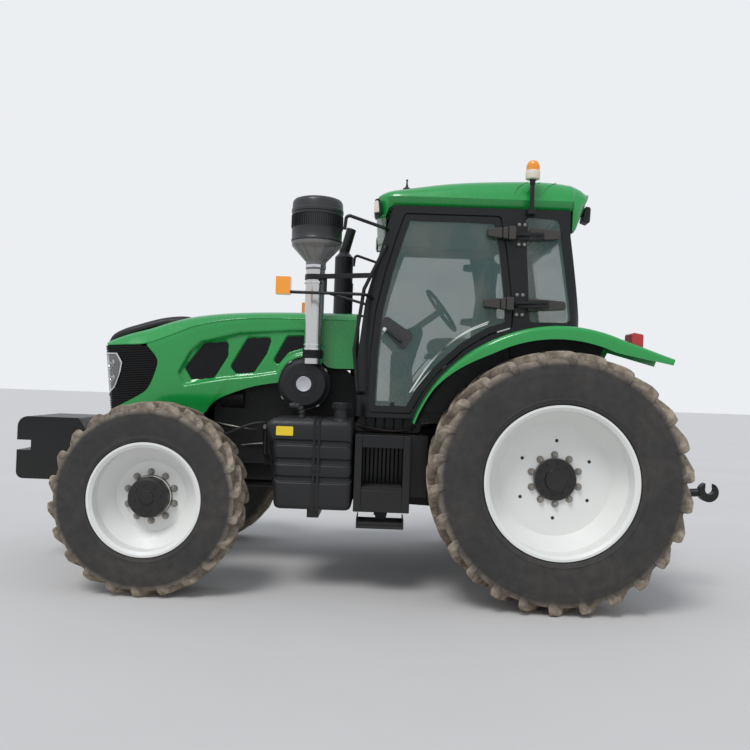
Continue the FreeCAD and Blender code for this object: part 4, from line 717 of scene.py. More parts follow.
# Distance behind the nose, side half width, crease height, shoulder half width and height, top height
SECTIONS = [(0.0, 0.330, 1.700, 0.300, 1.710, 1.716), (0.165, 0.372, 1.708, 0.322, 1.778, 1.792),
            (0.351, 0.392, 1.722, 0.336, 1.830, 1.848), (0.545, 0.402, 1.792, 0.348, 1.894, 1.910),
            (0.748, 0.407, 1.871, 0.352, 1.940, 1.958), (1.071, 0.408, 1.928, 0.352, 1.976, 1.992),
            (1.540, 0.403, 1.944, 0.345, 1.994, 2.008), (HOOD_LENGTH, 0.395, 1.946, 0.340, 1.998, 2.012)]
# Outlines on the side: distance behind the nose, height above the hood's foot, bend
GRILLE_EDGE = [(0.060, 0.002), (0.348, 0.150), (0.399, 0.216), (0.447, 0.354), (0.451, 0.422), (0.356, 0.521)]
LOWER_EDGE = [(0.060, 0.002), (0.400, -0.004), (0.780, -0.004), (0.821, 0.019), (0.878, 0.104),
              (0.974, 0.160), (1.175, 0.235), (1.360, 0.268)]
RECESS = [(0.613, 0.314, 0.03), (0.697, 0.475, 0.06), (0.770, 0.546, 0.06), (1.070, 0.628, 0.2),
          (1.446, 0.661, 0.1), (1.640, 0.668, 0.04), (1.640, 0.380, 0.03), (1.367, 0.347, 0.03),
          (1.157, 0.310, 0.2), (0.969, 0.288, 0.2), (0.819, 0.260, 0.1), (0.654, 0.225, 0.03)]
VENTS = [[(0.793, 0.554, 0.025), (0.981, 0.568, 0.025), (0.981, 0.455, 0.06), (0.880, 0.285, 0.04),
          (0.705, 0.264, 0.02), (0.649, 0.353, 0.03)],
         [(1.124, 0.603, 0.025), (1.312, 0.610, 0.025), (1.275, 0.485, 0.06), (1.180, 0.335, 0.03),
          (1.043, 0.321, 0.02), (0.996, 0.372, 0.03)],
         [(1.424, 0.625, 0.025), (1.590, 0.632, 0.025), (1.560, 0.540, 0.04), (1.440, 0.500, 0.03),
          (1.360, 0.400, 0.02), (1.320, 0.430, 0.03)]]
LAMP_EDGE = [(0.045, 0.120), (0.118, 0.191), (0.153, 0.283), (0.168, 0.382), (0.123, 0.452)]
# Top moulding of the nose: distance behind the nose, height, half width
NOSE_PANEL = [(0.004, 1.722, 0.236), (0.037, 1.786, 0.240), (0.110, 1.832, 0.246), (0.211, 1.868, 0.250),
              (0.414, 1.930, 0.240), (0.548, 1.950, 0.222), (0.610, 1.950, 0.205), (0.640, 1.940, 0.190)]
GRILLE_FOOT, GRILLE_TOP, SLAT_PITCH = 0.016, 0.520, 0.0135
SLAT_OUT, SLAT_DEEP, SLAT_HIGH = 0.004, 0.010, 0.011
LAMP_FOOT, LAMP_TOP, LAMP_INNER = 0.120, 0.452, 0.246
# Height above the hood's foot and radius of both lamps on a side
LAMP_DISHES = [(0.378, 0.044), (0.268, 0.036)]
VENT_BAR_PITCH, VENT_BAR_GAP = 0.0105, 0.004


def through(table):
    """Smooth function of one number through (at, value) rows."""
    def value(at):
        at = max(table[0][0], min(table[-1][0], at))
        k = next(i for i in range(1, len(table)) if at <= table[i][0] or i == len(table) - 1) - 1
        (x0, y0), (x1, y1) = table[k], table[k + 1]
        run = x1 - x0
        slope = (y1 - y0) / run
        first = slope if k == 0 else (y1 - table[k - 1][1]) / (x1 - table[k - 1][0])
        last = slope if k + 2 == len(table) else (table[k + 2][1] - y0) / (table[k + 2][0] - x0)
        t = (at - x0) / run
        return ((2 * t ** 3 - 3 * t ** 2 + 1) * y0 + (t ** 3 - 2 * t ** 2 + t) * run * first
                + (3 * t ** 2 - 2 * t ** 3) * y1 + (t ** 3 - t ** 2) * run * last)
    return value


SIDE_HALF, CREASE, SHOULDER_HALF, SHOULDER, CROWN = [
    through([(row[0], row[k]) for row in SECTIONS]) for k in range(1, 6)]


def softened(points, times=3):
    """The same line with its corners cut, over and over."""
    for _ in range(times):
        out = [points[0]]
        for a, b in zip(points, points[1:]):
            out += [a * 0.75 + b * 0.25, a * 0.25 + b * 0.75]
        points = out + [points[-1]]
    return points


def spaced(points, count):
    """Points at even distances along a line."""
    sums = [0.0]
    for a, b in zip(points, points[1:]):
        sums.append(sums[-1] + (b - a).length)
    out, k = [], 0
    for i in range(count):
        want = sums[-1] * i / (count - 1)
        while k < len(points) - 2 and sums[k + 1] < want:
            k += 1
        run = sums[k + 1] - sums[k]
        out.append(points[k].lerp(points[k + 1], (want - sums[k]) / run if run else 0))
    return out


def crossings(outline, height):
    """Where an outline's edges pass a height."""
    return [a.x + (height - a.y) / (b.y - a.y) * (b.x - a.x)
            for a, b in zip(outline, outline[1:] + outline[:1]) if (a.y > height) != (b.y > height)]


def outside(point, outline):
    """Distance from a closed outline, less than zero inside it."""
    nearest = 1e9
    for a, b in zip(outline, outline[1:] + outline[:1]):
        run = b - a
        t = max(0.0, min(1.0, (point - a).dot(run) / run.dot(run)))
        nearest = min(nearest, (point - a - run * t).length)
    passed = sum(point.x < x for x in crossings(outline, point.y))
    return -nearest if passed % 2 else nearest


def smooth_step(value, low, high):
    t = max(0.0, min(1.0, (value - low) / (high - low)))
    return t * t * (3 - 2 * t)


def nose_back(z):
    """How far the leaning nose lies behind its foremost point at a height."""
    return NOSE_LEAN * max(0.0, SECTIONS[0][2] - z) / (SECTIONS[0][2] - HOOD_FOOT)


def hood_half(behind, z):
    """Half width of the hood at a distance behind the nose, with its rounded front corner."""
    run = max(0.0, behind - nose_back(z))
    if run < 0.0887:
        corner = NOSE_FLAT + math.sqrt(NOSE_CORNER ** 2 - (NOSE_CORNER - run) ** 2)
    else:
        corner = 0.336 + 0.27 * run
    side = SIDE_HALF(behind)
    blend = 0.008
    share = max(0.0, blend - abs(corner - side)) / blend
    return min(corner, side) - share * share * blend / 4


def hood_point(behind, y, z):
    return spot(NOSE - behind, y, z)


def sheet(rows, push):
    """Closed sheet over a grid of points, as thick as push moves the far face."""
    n, m = len(rows), len(rows[0])
    near = [p for row in rows for p in row]
    far = [p + push for p in near]
    shift = n * m
    faces = []
    for i in range(n - 1):
        for j in range(m - 1):
            a, b, c, d = i * m + j, i * m + j + 1, (i + 1) * m + j + 1, (i + 1) * m + j
            faces += [[a, b, c, d], [shift + d, shift + c, shift + b, shift + a]]
    rim = border([[i * m + j for j in range(m)] for i in range(n)])
    faces += [[b, a, shift + a, shift + b] for a, b in zip(rim, rim[1:] + rim[:1])]
    return Form().add(near + far, faces)


def border(grid):
    """What lies along the edge of a grid, once round it."""
    return (grid[0] + [row[-1] for row in grid[1:]] + grid[-1][-2::-1] + [row[0] for row in grid[-2:0:-1]])


def lower_edge(side):
    """Lower edge of the hood's side, with the arch over the air cleaner on the left."""
    line = [Vector(p) for p in LOWER_EDGE]
    if side > 0:
        for k in range(9):
            angle = math.pi * (1 - 0.80 * k / 8)
            line.append(CLEANER_AT + Vector((math.cos(angle), math.sin(angle))) * CLEANER_ARCH)
    else:
        line.append(Vector((1.740, 0.390)))
    line.append(Vector((HOOD_LENGTH, 0.392)))
    return softened(line, 2)


def add_hood_side(side, hand):
    """Side of the hood over a grid between its four edges, with its sunk recess and vents."""
    columns, rows = 250, 64
    low = spaced(lower_edge(side), columns)
    front = spaced(softened([Vector(p) for p in GRILLE_EDGE], 2), rows)
    top = [Vector((d, CREASE(d) - HOOD_FOOT - 0.003)) for d in
           [CREASE_START + (HOOD_LENGTH - CREASE_START) * i / (columns - 1) for i in range(columns)]]
    rear = [low[-1].lerp(top[-1], j / (rows - 1)) for j in range(rows)]
    front[-1], front[0] = top[0], low[0]
    zones = [(rounded(RECESS), RECESS_FLOOR, 0.014)] + [(rounded(vent), VENT_FLOOR, 0.006) for vent in VENTS]
    grid = []
    for i in range(columns):
        s = i / (columns - 1)
        line = []
        for j in range(rows):
            t = j / (rows - 1)
            at = (front[j] * (1 - s) + rear[j] * s + low[i] * (1 - t) + top[i] * t
                  - front[0] * ((1 - s) * (1 - t)) - rear[0] * (s * (1 - t))
                  - front[-1] * ((1 - s) * t) - rear[-1] * (s * t))
            z = HOOD_FOOT + at.y
            y = hood_half(at.x, z) - 0.004 * smooth_step(t, 0.97, 1.0)
            y += (0.010 * math.sin(math.pi * t) * (1 - smooth_step(at.x, 0.9, 1.3))
                  * smooth_step(at.x, 0.3, 0.6))
            y -= 0.022 * smooth_step(0.16 - at.y, 0.0, 0.16) * smooth_step(at.x, 0.35, 0.6)
            arch = CLEANER_ARCH + 0.024 - (at - CLEANER_AT).length if side > 0 else -1.0
            for outline, floor, soft in zones:
                y += (floor - y) * (1 - smooth_step(max(outside(at, outline), arch), -soft, soft))
            line.append(hood_point(at.x, y * side, z))
        grid.append(line)
    sheet(grid, Y * side * -SHELL).piece(f"hood_side_{hand}", "green_paint", "hood", ["hood_shell"], sharp=50)


def add_hood_top():
    """Crowned top of the hood between both creases, round the nose's corners in front."""
    columns, steps = 150, 26
    shares = [1 - (1 - k / steps) ** 1.7 for k in range(steps + 1)]
    shares = [-v for v in shares[:0:-1]] + shares
    corner_y = NOSE_FLAT + NOSE_CORNER * math.sin(math.radians(50))
    grid = []
    for i in range(columns + 1):
        line = []
        for v in shares:
            past = max(0.0, abs(v) * corner_y - NOSE_FLAT)
            front = NOSE_CORNER - math.sqrt(NOSE_CORNER ** 2 - past ** 2)
            d = front + (HOOD_LENGTH - front) * (i / columns) ** 1.15
            half, shoulder, crown = SIDE_HALF(d), SHOULDER_HALF(d), CROWN(d)
            outline = softened([Vector((0, crown)), Vector((shoulder * 0.62, crown - 0.003)),
                                Vector((shoulder, SHOULDER(d))), Vector((half, CREASE(d)))])
            y = abs(v) * half
            k = next((n for n in range(1, len(outline)) if outline[n].x >= y - 1e-9), len(outline) - 1)
            a, b = outline[k - 1], outline[k]
            z = a.y + (b.y - a.y) * (y - a.x) / max(1e-9, b.x - a.x)
            line.append(hood_point(d, v * hood_half(d, CREASE(d)), z))
        grid.append(line)
    sheet(grid, Z * -0.006).piece("hood_top", "green_paint", "hood", ["hood_shell"], sharp=50)


def nose_path(z, reach, start=None):
    """Line round the left half of the nose at one height, from the front's middle to reach.

    Each point comes with its outward normal.
    """
    back = nose_back(z)
    if start is None:
        first = back
        line = [Vector((back, y)) for y in (0.0, 0.08, 0.16)]
        steps = [NOSE_CORNER * (1 - math.cos(math.radians(a))) for a in range(0, 75, 8)]
        steps = [run for run in steps if first + run < reach]
    else:
        first, line, steps = start, [], [0.0]
    line += [Vector((first + run, hood_half(first + run, z))) for run in steps]
    last, count = line[-1].x, 12
    for k in range(1, count + 1):
        at = last + (reach - last) * k / count
        line.append(Vector((at, hood_half(at, z))))
    out = []
    for k, p in enumerate(line):
        run = (line[min(len(line) - 1, k + 1)] - line[max(0, k - 1)]).normalized()
        out.append((p, Vector((-run.y, run.x))))
    return out


def across_nose(line):
    """The same line from the right end through the middle to the left end."""
    return [(Vector((p.x, -p.y)), Vector((n.x, -n.y))) for p, n in line[:0:-1]] + line


def at_height(edge, height):
    """Distance behind the nose of an outline's rear edge at one height."""
    for (x0, z0), (x1, z1) in zip(edge, edge[1:]):
        if z0 <= height <= z1:
            return x0 + (x1 - x0) * (height - z0) / (z1 - z0)
    return edge[0][0] if height < edge[0][1] else edge[-1][0]


def add_slat(form, line, z):
    """Slat along a plan line of (point, normal) pairs."""
    rings = []
    for place, normal in line:
        ring = []
        for push, up in ((-SLAT_OUT, 0.3), (-SLAT_OUT, -0.3), (-SLAT_DEEP, -0.5), (-SLAT_DEEP, 0.5)):
            at = place + normal * push
            ring.append(hood_point(at.x, at.y, z + SLAT_HIGH * up))
        rings.append(ring)
    form.rings(rings)


def add_nose():
    """Mesh of thin slats round the nose, with the sheet and the posts behind it."""
    slats = Form()
    for k in range(int((GRILLE_TOP - GRILLE_FOOT) / SLAT_PITCH)):
        height = GRILLE_FOOT + SLAT_PITCH * k
        z = HOOD_FOOT + height
        back = nose_back(z)
        reach = at_height(GRILLE_EDGE, height) + 0.003
        if 0.112 < height < LAMP_TOP:
            lamp = max(back + 0.004, at_height(LAMP_EDGE, height) + 0.010)
            line = nose_path(z, reach, start=lamp)
            add_slat(slats, line, z)
            add_slat(slats, [(Vector((p.x, -p.y)), Vector((n.x, -n.y))) for p, n in line], z)
            add_slat(slats, [(Vector((back, y)), Vector((-1, 0))) for y in (-0.235, 0.0, 0.235)], z)
        else:
            add_slat(slats, across_nose(nose_path(z, reach)), z)
    slats.piece("nose_slats", "dark_mesh", "hood", ["nose_grille"])
    grid = []
    for k in range(33):
        height = 0.004 + 0.516 * k / 32
        z = HOOD_FOOT + height
        line = across_nose(nose_path(z, at_height(GRILLE_EDGE, height) + 0.012))
        points = [p - n * 0.014 for p, n in line]
        grid.append([hood_point(p.x, p.y, z) for p in points])
    sheet(grid, X * -0.0015).piece("nose_sheet", "dark_mesh", "hood", ["nose_grille"])
    posts = Form()
    for y in (0.030, 0.130, -0.030, -0.130):
        posts.rings([[hood_point(nose_back(z) + deep, y + shift, z) for deep, shift in
                      ((0.002, -0.004), (0.002, 0.004), (0.010, 0.004), (0.010, -0.004))]
                     for z in (HOOD_FOOT + 0.02, HOOD_FOOT + 0.50)])
    posts.piece("nose_posts", "dark_mesh", "hood")


def lamp_grid(side, inset, grow, rows=14):
    """Grid over a headlamp's zone, from the front round the corner to its rear edge."""
    grid = []
    for k in range(rows + 1):
        height = LAMP_FOOT - grow + (LAMP_TOP - LAMP_FOOT + 2 * grow) * k / rows
        z = HOOD_FOOT + height
        reach = max(nose_back(z) + 0.012, at_height(LAMP_EDGE, height)) + grow
        points = [Vector((nose_back(z) + inset, LAMP_INNER - grow))]
        points += [p - n * inset for p, n in nose_path(z, reach) if p.y > LAMP_INNER + 0.002 - grow]
        grid.append([hood_point(p.x, p.y * side, z) for p in spaced(points, 16)])
    return grid


def add_headlamp(side, hand):
    """Lens, back and rim of a headlamp, and its two dishes with their globes."""
    lens = sheet(lamp_grid(side, 0.002, -0.003), Vector((-0.002, -0.002 * side, 0)))
    lens.piece(f"headlamp_lens_{hand}", "lamp_lens", "hood", ["headlamps"])
    bowl = sheet(lamp_grid(side, 0.030, -0.004), Vector((-0.003, -0.003 * side, 0)))
    bowl.piece(f"headlamp_back_{hand}", "lamp_lens", "hood", material="silver_disc")
    outer, inner = border(lamp_grid(side, 0.0, 0.0)), border(lamp_grid(side, 0.014, -0.009))
    middle = sum(outer, ORIGIN) / len(outer)
    lift = Vector((1, side, 0)).normalized() * 0.002
    rings = []
    for a, b in zip(outer, inner):
        way = (a - middle).normalized()
        rings.append([a + lift - way * 0.010, a + lift, a - lift + way * 0.001, b - way * 0.004])
    rim = Form().rings(rings, loop=True)
    rim.piece(f"headlamp_rim_{hand}", "stainless", "hood", material="chrome")
    dishes, globes = Form(), Form()
    way = Vector((0.80, 0.60 * side, 0.0))
    for height, radius in LAMP_DISHES:
        z = HOOD_FOOT + height
        base = hood_point(nose_back(z) + 0.072, 0.288 * side, z)
        dishes.turn([(0.0, radius * 0.35), (0.010, radius * 0.7), (0.030, radius), (0.034, radius * 1.06),
                     (0.034, radius * 1.12), (0.020, radius * 1.12)], base, way, 40)
        globes.turn([(0.008, radius * 0.62), (0.022, radius * 0.58), (0.030, radius * 0.42),
                     (0.034, radius * 0.2)], base, way, 32)
    dishes.piece(f"headlamp_dishes_{hand}", "stainless", "hood", material="chrome")
    globes.piece(f"headlamp_globes_{hand}", "lamp_lens", "hood", material="white_paint")


def add_vents(side, hand):
    """Sunk sheet of each vent, with thin bars across it."""
    sheets, bars = Form(), Form(side)
    y = VENT_FLOOR + 0.004
    for vent in VENTS:
        edge = rounded(vent)
        middle = sum(edge, Vector((0, 0))) / len(edge)
        shrunk = [p + (middle - p).normalized() * 0.001 for p in edge]
        sheets.prism(shrunk, lambda a, b, depth: hood_point(a, depth * side, HOOD_FOOT + b), y - 0.003, y)
        height, top = min(p.y for p in edge) + 0.010, max(p.y for p in edge) - 0.006
        while height < top:
            cuts = crossings(edge, height)
            if len(cuts) >= 2:
                z = HOOD_FOOT + height
                bars.block(NOSE - max(cuts) + VENT_BAR_GAP, NOSE - min(cuts) - VENT_BAR_GAP, y - 0.001,
                           y + 0.003, z - 0.002, z + 0.002)
            height += VENT_BAR_PITCH
    sheets.piece(f"vent_sheets_{hand}", "dark_mesh", "hood", ["side_vents"])
    bars.piece(f"vent_bars_{hand}", "dark_mesh", "hood", ["side_vents"])


def add_nose_panel():
    """Dark raised moulding along the top of the nose."""
    top = through([(d, z) for d, z, _ in NOSE_PANEL])
    half = through([(d, h) for d, _, h in NOSE_PANEL])
    first, last = NOSE_PANEL[0][0], NOSE_PANEL[-1][0]
    rings = []
    for k in range(41):
        d = first + (last - first) * k / 40
        z, y = top(d), half(d)
        edge = softened([Vector((y, z - 0.060)), Vector((y, z - 0.030)), Vector((y - 0.030, z - 0.005)),
                         Vector((y * 0.5, z)), Vector((0.0, z + 0.001))], 2)
        edge += [Vector((-p.x, p.y)) for p in edge[-2::-1]]
        rings.append([hood_point(d, p.x, p.y) for p in edge])
    Form().rings(rings).piece("nose_panel", "black_moulding", "hood", sharp=50)


both_sides(add_hood_side)
add_hood_top()
add_nose()
both_sides(add_headlamp, add_vents)
add_nose_panel()


# Cab, fenders and roof


AXLE_Z = 0.865
ROOF_TOP = through([(-0.246, 2.905), (-0.200, 2.930), (-0.117, 2.961), (0.094, 2.981), (0.431, 2.972),
                    (0.762, 2.946), (1.113, 2.890), (1.220, 2.866), (1.262, 2.830), (1.279, 2.775)])
ROOF_STATIONS = [-0.246, -0.243, -0.235, -0.220, -0.205, -0.187, -0.161, -0.142, -0.128, -0.1145, -0.113,
                 -0.05, 0.02, 0.094, 0.18, 0.26, 0.34, 0.431, 0.55, 0.66, 0.762, 0.85, 0.94, 1.03, 1.10, 1.15,
                 1.185, 1.205, 1.225, 1.246, 1.258, 1.268, 1.275, 1.279]


def roof_low(x):
    """Height of the roof's underside, with the lips that hang down at both ends."""
    rows = [(-0.246, 2.850), (-0.187, 2.728), (-0.161, 2.657), (-0.135, 2.590), (-0.1145, 2.590),
            (-0.113, 2.735), (1.180, 2.735), (1.205, 2.659), (1.270, 2.659), (1.279, 2.745)]
    for (x0, z0), (x1, z1) in zip(rows, rows[1:]):
        if x <= x1:
            return z0 + (z1 - z0) * (x - x0) / (x1 - x0)
    return rows[-1][1]


def roof_half(x):
    """Half width of the roof, with its rounded corners."""
    half = 0.800
    for end, corner, way in ((-0.248, 0.150, 1), (1.281, 0.170, -1)):
        run = (x - end) * way
        if run < corner:
            half = min(half, 0.800 - corner + math.sqrt(max(0.0, corner ** 2 - (corner - run) ** 2)))
    return half


def add_roof():
    """Roof with its lining, the ribs at its rear corners and the lamps at both ends."""
    rings = []
    for x in ROOF_STATIONS:
        top, low, half = ROOF_TOP(x), roof_low(x), roof_half(x)
        crease = max(low + 0.02, min(low + (top - low) * 0.4, 2.800)) if x < -0.12 else 2.800
        crease = min(crease, top - 0.03)
        line = [Vector((0, low)), Vector((half - 0.10, low)), Vector((half - 0.045, low)),
                Vector((half - 0.030, low + 0.010)), Vector((half, crease)),
                Vector((half - 0.004, crease + 0.012)),
                Vector((half - 0.022, crease + (top - crease) * 0.45)), Vector((half - 0.085, top - 0.022)),
                Vector((half - 0.26, top - 0.004)), Vector((0, top))]
        line = line[:5] + softened(line[4:], 2)[1:]
        ring = [spot(x, p.x, p.y) for p in line] + [spot(x, -p.x, p.y) for p in line[-2:0:-1]]
        rings.append(ring)
    roof = Form().rings(rings)
    roof.piece("roof_shell", "green_paint", "chassis", ["cab_roof"], sharp=38)
    lining = Form()
    lining.side_plate([(-0.100, 2.700, 0.02), (1.150, 2.700, 0.02), (1.150, 2.716, 0.01),
                       (-0.100, 2.716, 0.01)], -0.720, 0.720)
    lining.piece("roof_lining", "dark_grey_panel", "chassis", bevel=0.004, material="lining")
    ribs = Form()
    for x in (0.300, 0.215, 0.100):
        for side in (1, -1):
            foot, head = Vector((x, 0.786 * side, 2.856)), Vector((x - 0.10, 0.716 * side, 2.948))
            way = (head - foot).normalized()
            across = way.cross(X).normalized() * 0.004
            rings = []
            for k in range(7):
                t = k / 6
                bulge = Vector((0.02 * math.sin(math.pi * t), 0.048 * side * t * (1 - t), 0.0))
                at = spot(*(foot.lerp(head, t) + bulge))
                rings.append([at + X * 0.005, at + across * side, at - X * 0.005, at - across * side])
            ribs.rings(rings)
    ribs.piece("roof_ribs", "green_paint", "chassis")
    lamps, lenses = Form(), Form()
    for side in (1, -1):
        lamps.side_plate([(-0.258, 2.672, 0.012), (-0.205, 2.690, 0.01), (-0.225, 2.795, 0.01),
                          (-0.262, 2.790, 0.012)], 0.590 * side, 0.690 * side)
        lamps.side_plate([(-0.226, 2.730, 0.004), (-0.190, 2.730, 0.004), (-0.190, 2.752, 0.004),
                          (-0.226, 2.752, 0.004)], 0.620 * side, 0.660 * side)
        lenses.side_plate([(-0.262, 2.688, 0.01), (-0.258, 2.688, 0.002), (-0.262, 2.780, 0.002),
                           (-0.266, 2.780, 0.01)], 0.600 * side, 0.680 * side)
    lamps.piece("rear_lamp_boxes", "black_moulding", "chassis", ["work_lamps"], bevel=0.004)
    lenses.piece("rear_lamp_lenses", "lamp_lens", "chassis", ["work_lamps"], bevel=0.001,
                 material="silver_disc")
    sockets, fronts = Form(), Form()
    for side in (1, -1):
        sockets.side_plate([(1.238, 2.668, 0.02), (1.284, 2.664, 0.006), (1.286, 2.770, 0.012),
                            (1.250, 2.800, 0.02)], 0.610 * side, 0.792 * side)
        fronts.side_plate([(1.252, 2.682, 0.012), (1.290, 2.676, 0.004), (1.291, 2.752, 0.008),
                           (1.262, 2.775, 0.012)], 0.622 * side, 0.798 * side)
    sockets.piece("front_lamp_sockets", "black_moulding", "chassis", bevel=0.004)
    fronts.piece("front_lamp_lenses", "lamp_lens", "chassis", bevel=0.006, material="pale_moulding")


def add_antenna():
    """Short aerial on the front of the roof."""
    form = Form().turn([(-0.010, 0.030), (0.006, 0.028), (0.012, 0.018), (0.020, 0.010), (0.034, 0.007),
                        (0.060, 0.005), (0.064, 0.008), (0.070, 0.008), (0.074, 0.004)],
                       spot(1.060, 0.600, 2.897), Z, 20)
    form.piece("roof_antenna", "black_moulding", "chassis")


FENDER_R = 1.033
FENDER_OUT = 1.120
FENDER_EDGE = 0.034
FENDER_TAIL = Vector((-0.358, -0.123))


def fender_section(angle, run=0.0):
    """Outline of the fender's sheet at an angle round the axle, moved along the tail by run."""
    radius, turn = FENDER_R, math.radians(angle)
    out = Vector((math.cos(turn), math.sin(turn)))
    x_top = radius * out.x
    y_out = FENDER_OUT - 0.142 * smooth_step(x_top, 0.450, radius)
    lip = (0.092 - 0.020 * out.x) * (1 - 0.96 * smooth_step(out.x, 0.45, 0.93))
    low = min(radius - 0.03, max(0.30, (1.204 - AXLE_Z) / max(0.2, out.y)))
    if run > 0:
        lip = lip * (1 - run) + 0.045 * run
        low = radius - 0.045 - 0.03 * (1 - run)
    edge, thick = min(FENDER_EDGE, max(0.008, lip * 0.6)), 0.006
    line = [(0.7415, low), (0.7415, radius), (y_out - edge, radius)]
    line += [(y_out - edge + edge * math.sin(a), radius - edge + edge * math.cos(a))
             for a in [math.pi / 2 * k / 6 for k in range(1, 7)]]
    line += [(y_out, radius - max(lip, edge + 0.004)), (y_out - thick, radius - max(lip, edge + 0.004))]
    line += [(y_out - edge + (edge - thick) * math.sin(a), radius - edge + (edge - thick) * math.cos(a))
             for a in [math.pi / 2 * k / 6 for k in range(6, 0, -1)]]
    line += [(y_out - edge, radius - thick), (0.7475, radius - thick), (0.7475, low)]
    return [(y, out.x * r + FENDER_TAIL.x * run, AXLE_Z + out.y * r + FENDER_TAIL.y * run) for y, r in line]


def add_fenders():
    """Green sheet over each rear wheel with the dark liner below it."""
    for side, hand in SIDES:
        sections = [fender_section(19.5 + 92.5 * k / 60) for k in range(61)]
        sections += [fender_section(112.0, k / 10) for k in range(1, 11)]
        rings = [[spot(x, y * side, z) for y, x, z in section] for section in sections]
        Form().rings(rings).piece(f"fender_{hand}", "green_paint", "chassis", ["fenders"], sharp=40)
        liner = []
        for k in range(47):
            turn = math.radians(19.5 + 92.5 * k / 46)
            y_out = FENDER_OUT - 0.142 * smooth_step(FENDER_R * math.cos(turn), 0.450, FENDER_R) - 0.012
            radius = FENDER_R - 0.009
            low = min(radius - 0.03, max(0.30, (1.206 - AXLE_Z) / max(0.2, math.sin(turn))))
            liner.append([spot(math.cos(turn) * r, y * side, AXLE_Z + math.sin(turn) * r) for y, r in
                          ((0.7490, low), (0.7490, radius), (y_out - 0.036, radius),
                           (y_out - 0.014, radius - 0.026),
                           (y_out - 0.017, radius - 0.028), (y_out - 0.038, radius - 0.004),
                           (0.7530, radius - 0.004), (0.7530, low))])
        Form().rings(liner).piece(f"fender_liner_{hand}", "black_moulding", "chassis", sharp=40)


def ribbon(form, line, y, width, thick):
    """Flat band on a pane, along (x, z) points."""
    points = softened([Vector(p) for p in line], 4)
    rings = []
    for k, p in enumerate(points):
        run = (points[min(k + 1, len(points) - 1)] - points[max(k - 1, 0)]).normalized()
        side = Vector((-run.y, run.x)) * width / 2
        a, b = p + side, p - side
        rings.append([spot(a.x, y, a.y), spot(b.x, y, b.y), spot(b.x, y + thick, b.y),
                      spot(a.x, y + thick, a.y)])
    form.rings(rings)


def add_door_details():
    """Stripes on the glass, lock cover with its knob and lever, hinge pods, covers, plates and bolts."""
    for side, hand in SIDES:
        body = f"{hand}_door"
        y = 0.7865 * side
        stripes = Form()
        for shift in (0.0, 0.017):
            line = [(0.985 + shift * 0.7, 1.425 - shift * 0.6), (0.880 + shift * 0.8, 1.600 - shift * 0.6),
                    (0.758 + shift * 0.7, 1.748 - shift * 0.7), (0.610 + shift * 0.5, 1.868 - shift * 0.8),
                    (0.455 + shift * 0.4, 1.935 - shift * 0.9)]
            ribbon(stripes, line, y, 0.0065, 0.0006 * side)
        stripes.piece(f"door_stripes_{hand}", "white_paint", body)
        cover = Form().side_plate([(1.183, 1.958, 0.03), (0.976, 1.822, 0.03), (1.053, 1.702, 0.03),
                                   (1.222, 1.878, 0.03)], y, y + 0.003 * side)
        cover.piece(f"lock_cover_{hand}", "dark_grey_panel", body, bevel=0.0008)
        knob = Form().turn([(0.0, 0.017), (0.008, 0.017), (0.012, 0.014), (0.012, 0.010), (0.020, 0.009),
                            (0.022, 0.006)], spot(1.187, y + 0.003 * side, 1.854), Y * side, 24)
        knob.piece(f"lock_knob_{hand}", "stainless", body, material="chrome")
        lever = Form()
        ends = [(1.178, 1.846, 0.011), (1.120, 1.810, 0.009), (1.065, 1.772, 0.012)]
        for (x0, z0, r0), (x1, z1, r1) in zip(ends, ends[1:]):
            way = Vector((x1 - x0, 0, z1 - z0)).normalized()
            lever.turn([(0, r0 * 0.7), (0.004, r0), (math.hypot(x1 - x0, z1 - z0), r1)],
                       spot(x0, y + 0.020 * side, z0), way, 12)
        lever.turn([(0, 0.008), (0.024, 0.008)], spot(1.068, y, 1.774), Y * side, 12)
        lever.piece(f"lock_lever_{hand}", "black_moulding", body, bevel=0.001)
        bolt = Form().turn([(0, 0.016), (0.004, 0.016), (0.007, 0.012)], spot(1.115, y, 1.330),
                           Y * side, 20)
        bolt.piece(f"pane_bolt_{hand}", "black_moulding", body)
        pods, behind, plates, bolts = Form(side), Form(side), Form(side), Form()
        for z, front, back in ((2.555, 0.490, -0.020), (2.060, 0.500, -0.075)):
            for k, (x0, x1, high) in enumerate(((0.290, 0.345, 0.046), (0.345, 0.385, 0.043),
                                                (0.385, front, 0.038))):
                taper = 0.006 * k
                pods.side_plate([(x0 + 0.002, z - high, 0.008), (x1 - 0.001, z - high + taper, 0.010),
                                 (x1 - 0.001, z + high - taper, 0.010), (x0 + 0.002, z + high, 0.008)],
                                0.798, 0.862 - 0.004 * k)
            behind.side_plate([(back, z - 0.030, 0.02), (0.190, z - 0.046, 0.008), (0.190, z + 0.046, 0.008),
                               (back, z + 0.030, 0.02)], 0.800, 0.826)
            plates.block(0.205, 0.282, 0.7935, 0.800, z - 0.085, z + 0.085, 0.01)
            for x in (0.224, 0.264):
                for up in (-0.070, 0.070):
                    bolts.hex_bolt(spot(x, 0.800 * side, z + up), Y * side, 0.009, 0.007)
        pods.piece(f"hinge_pods_{hand}", "dark_grey_panel", body, bevel=0.006, material="brown_moulding")
        behind.piece(f"hinge_covers_{hand}", "dark_grey_panel", "chassis", bevel=0.006,
                     material="brown_moulding")
        plates.piece(f"hinge_plates_{hand}", "black_paint", "chassis", bevel=0.002)
        bolts.piece(f"hinge_bolts_{hand}", "bare_steel", "chassis")


# Lower and upper height of each groove round the tank
TANK_GROOVES = [(0.771, 0.821), (0.893, 0.944), (1.026, 1.070)]
# Height and place of the tank's front face
TANK_FRONT = [(0.590, 1.913), (1.000, 1.930), (1.150, 1.985), (1.212, 1.955)]
TANK_REAR = 1.374
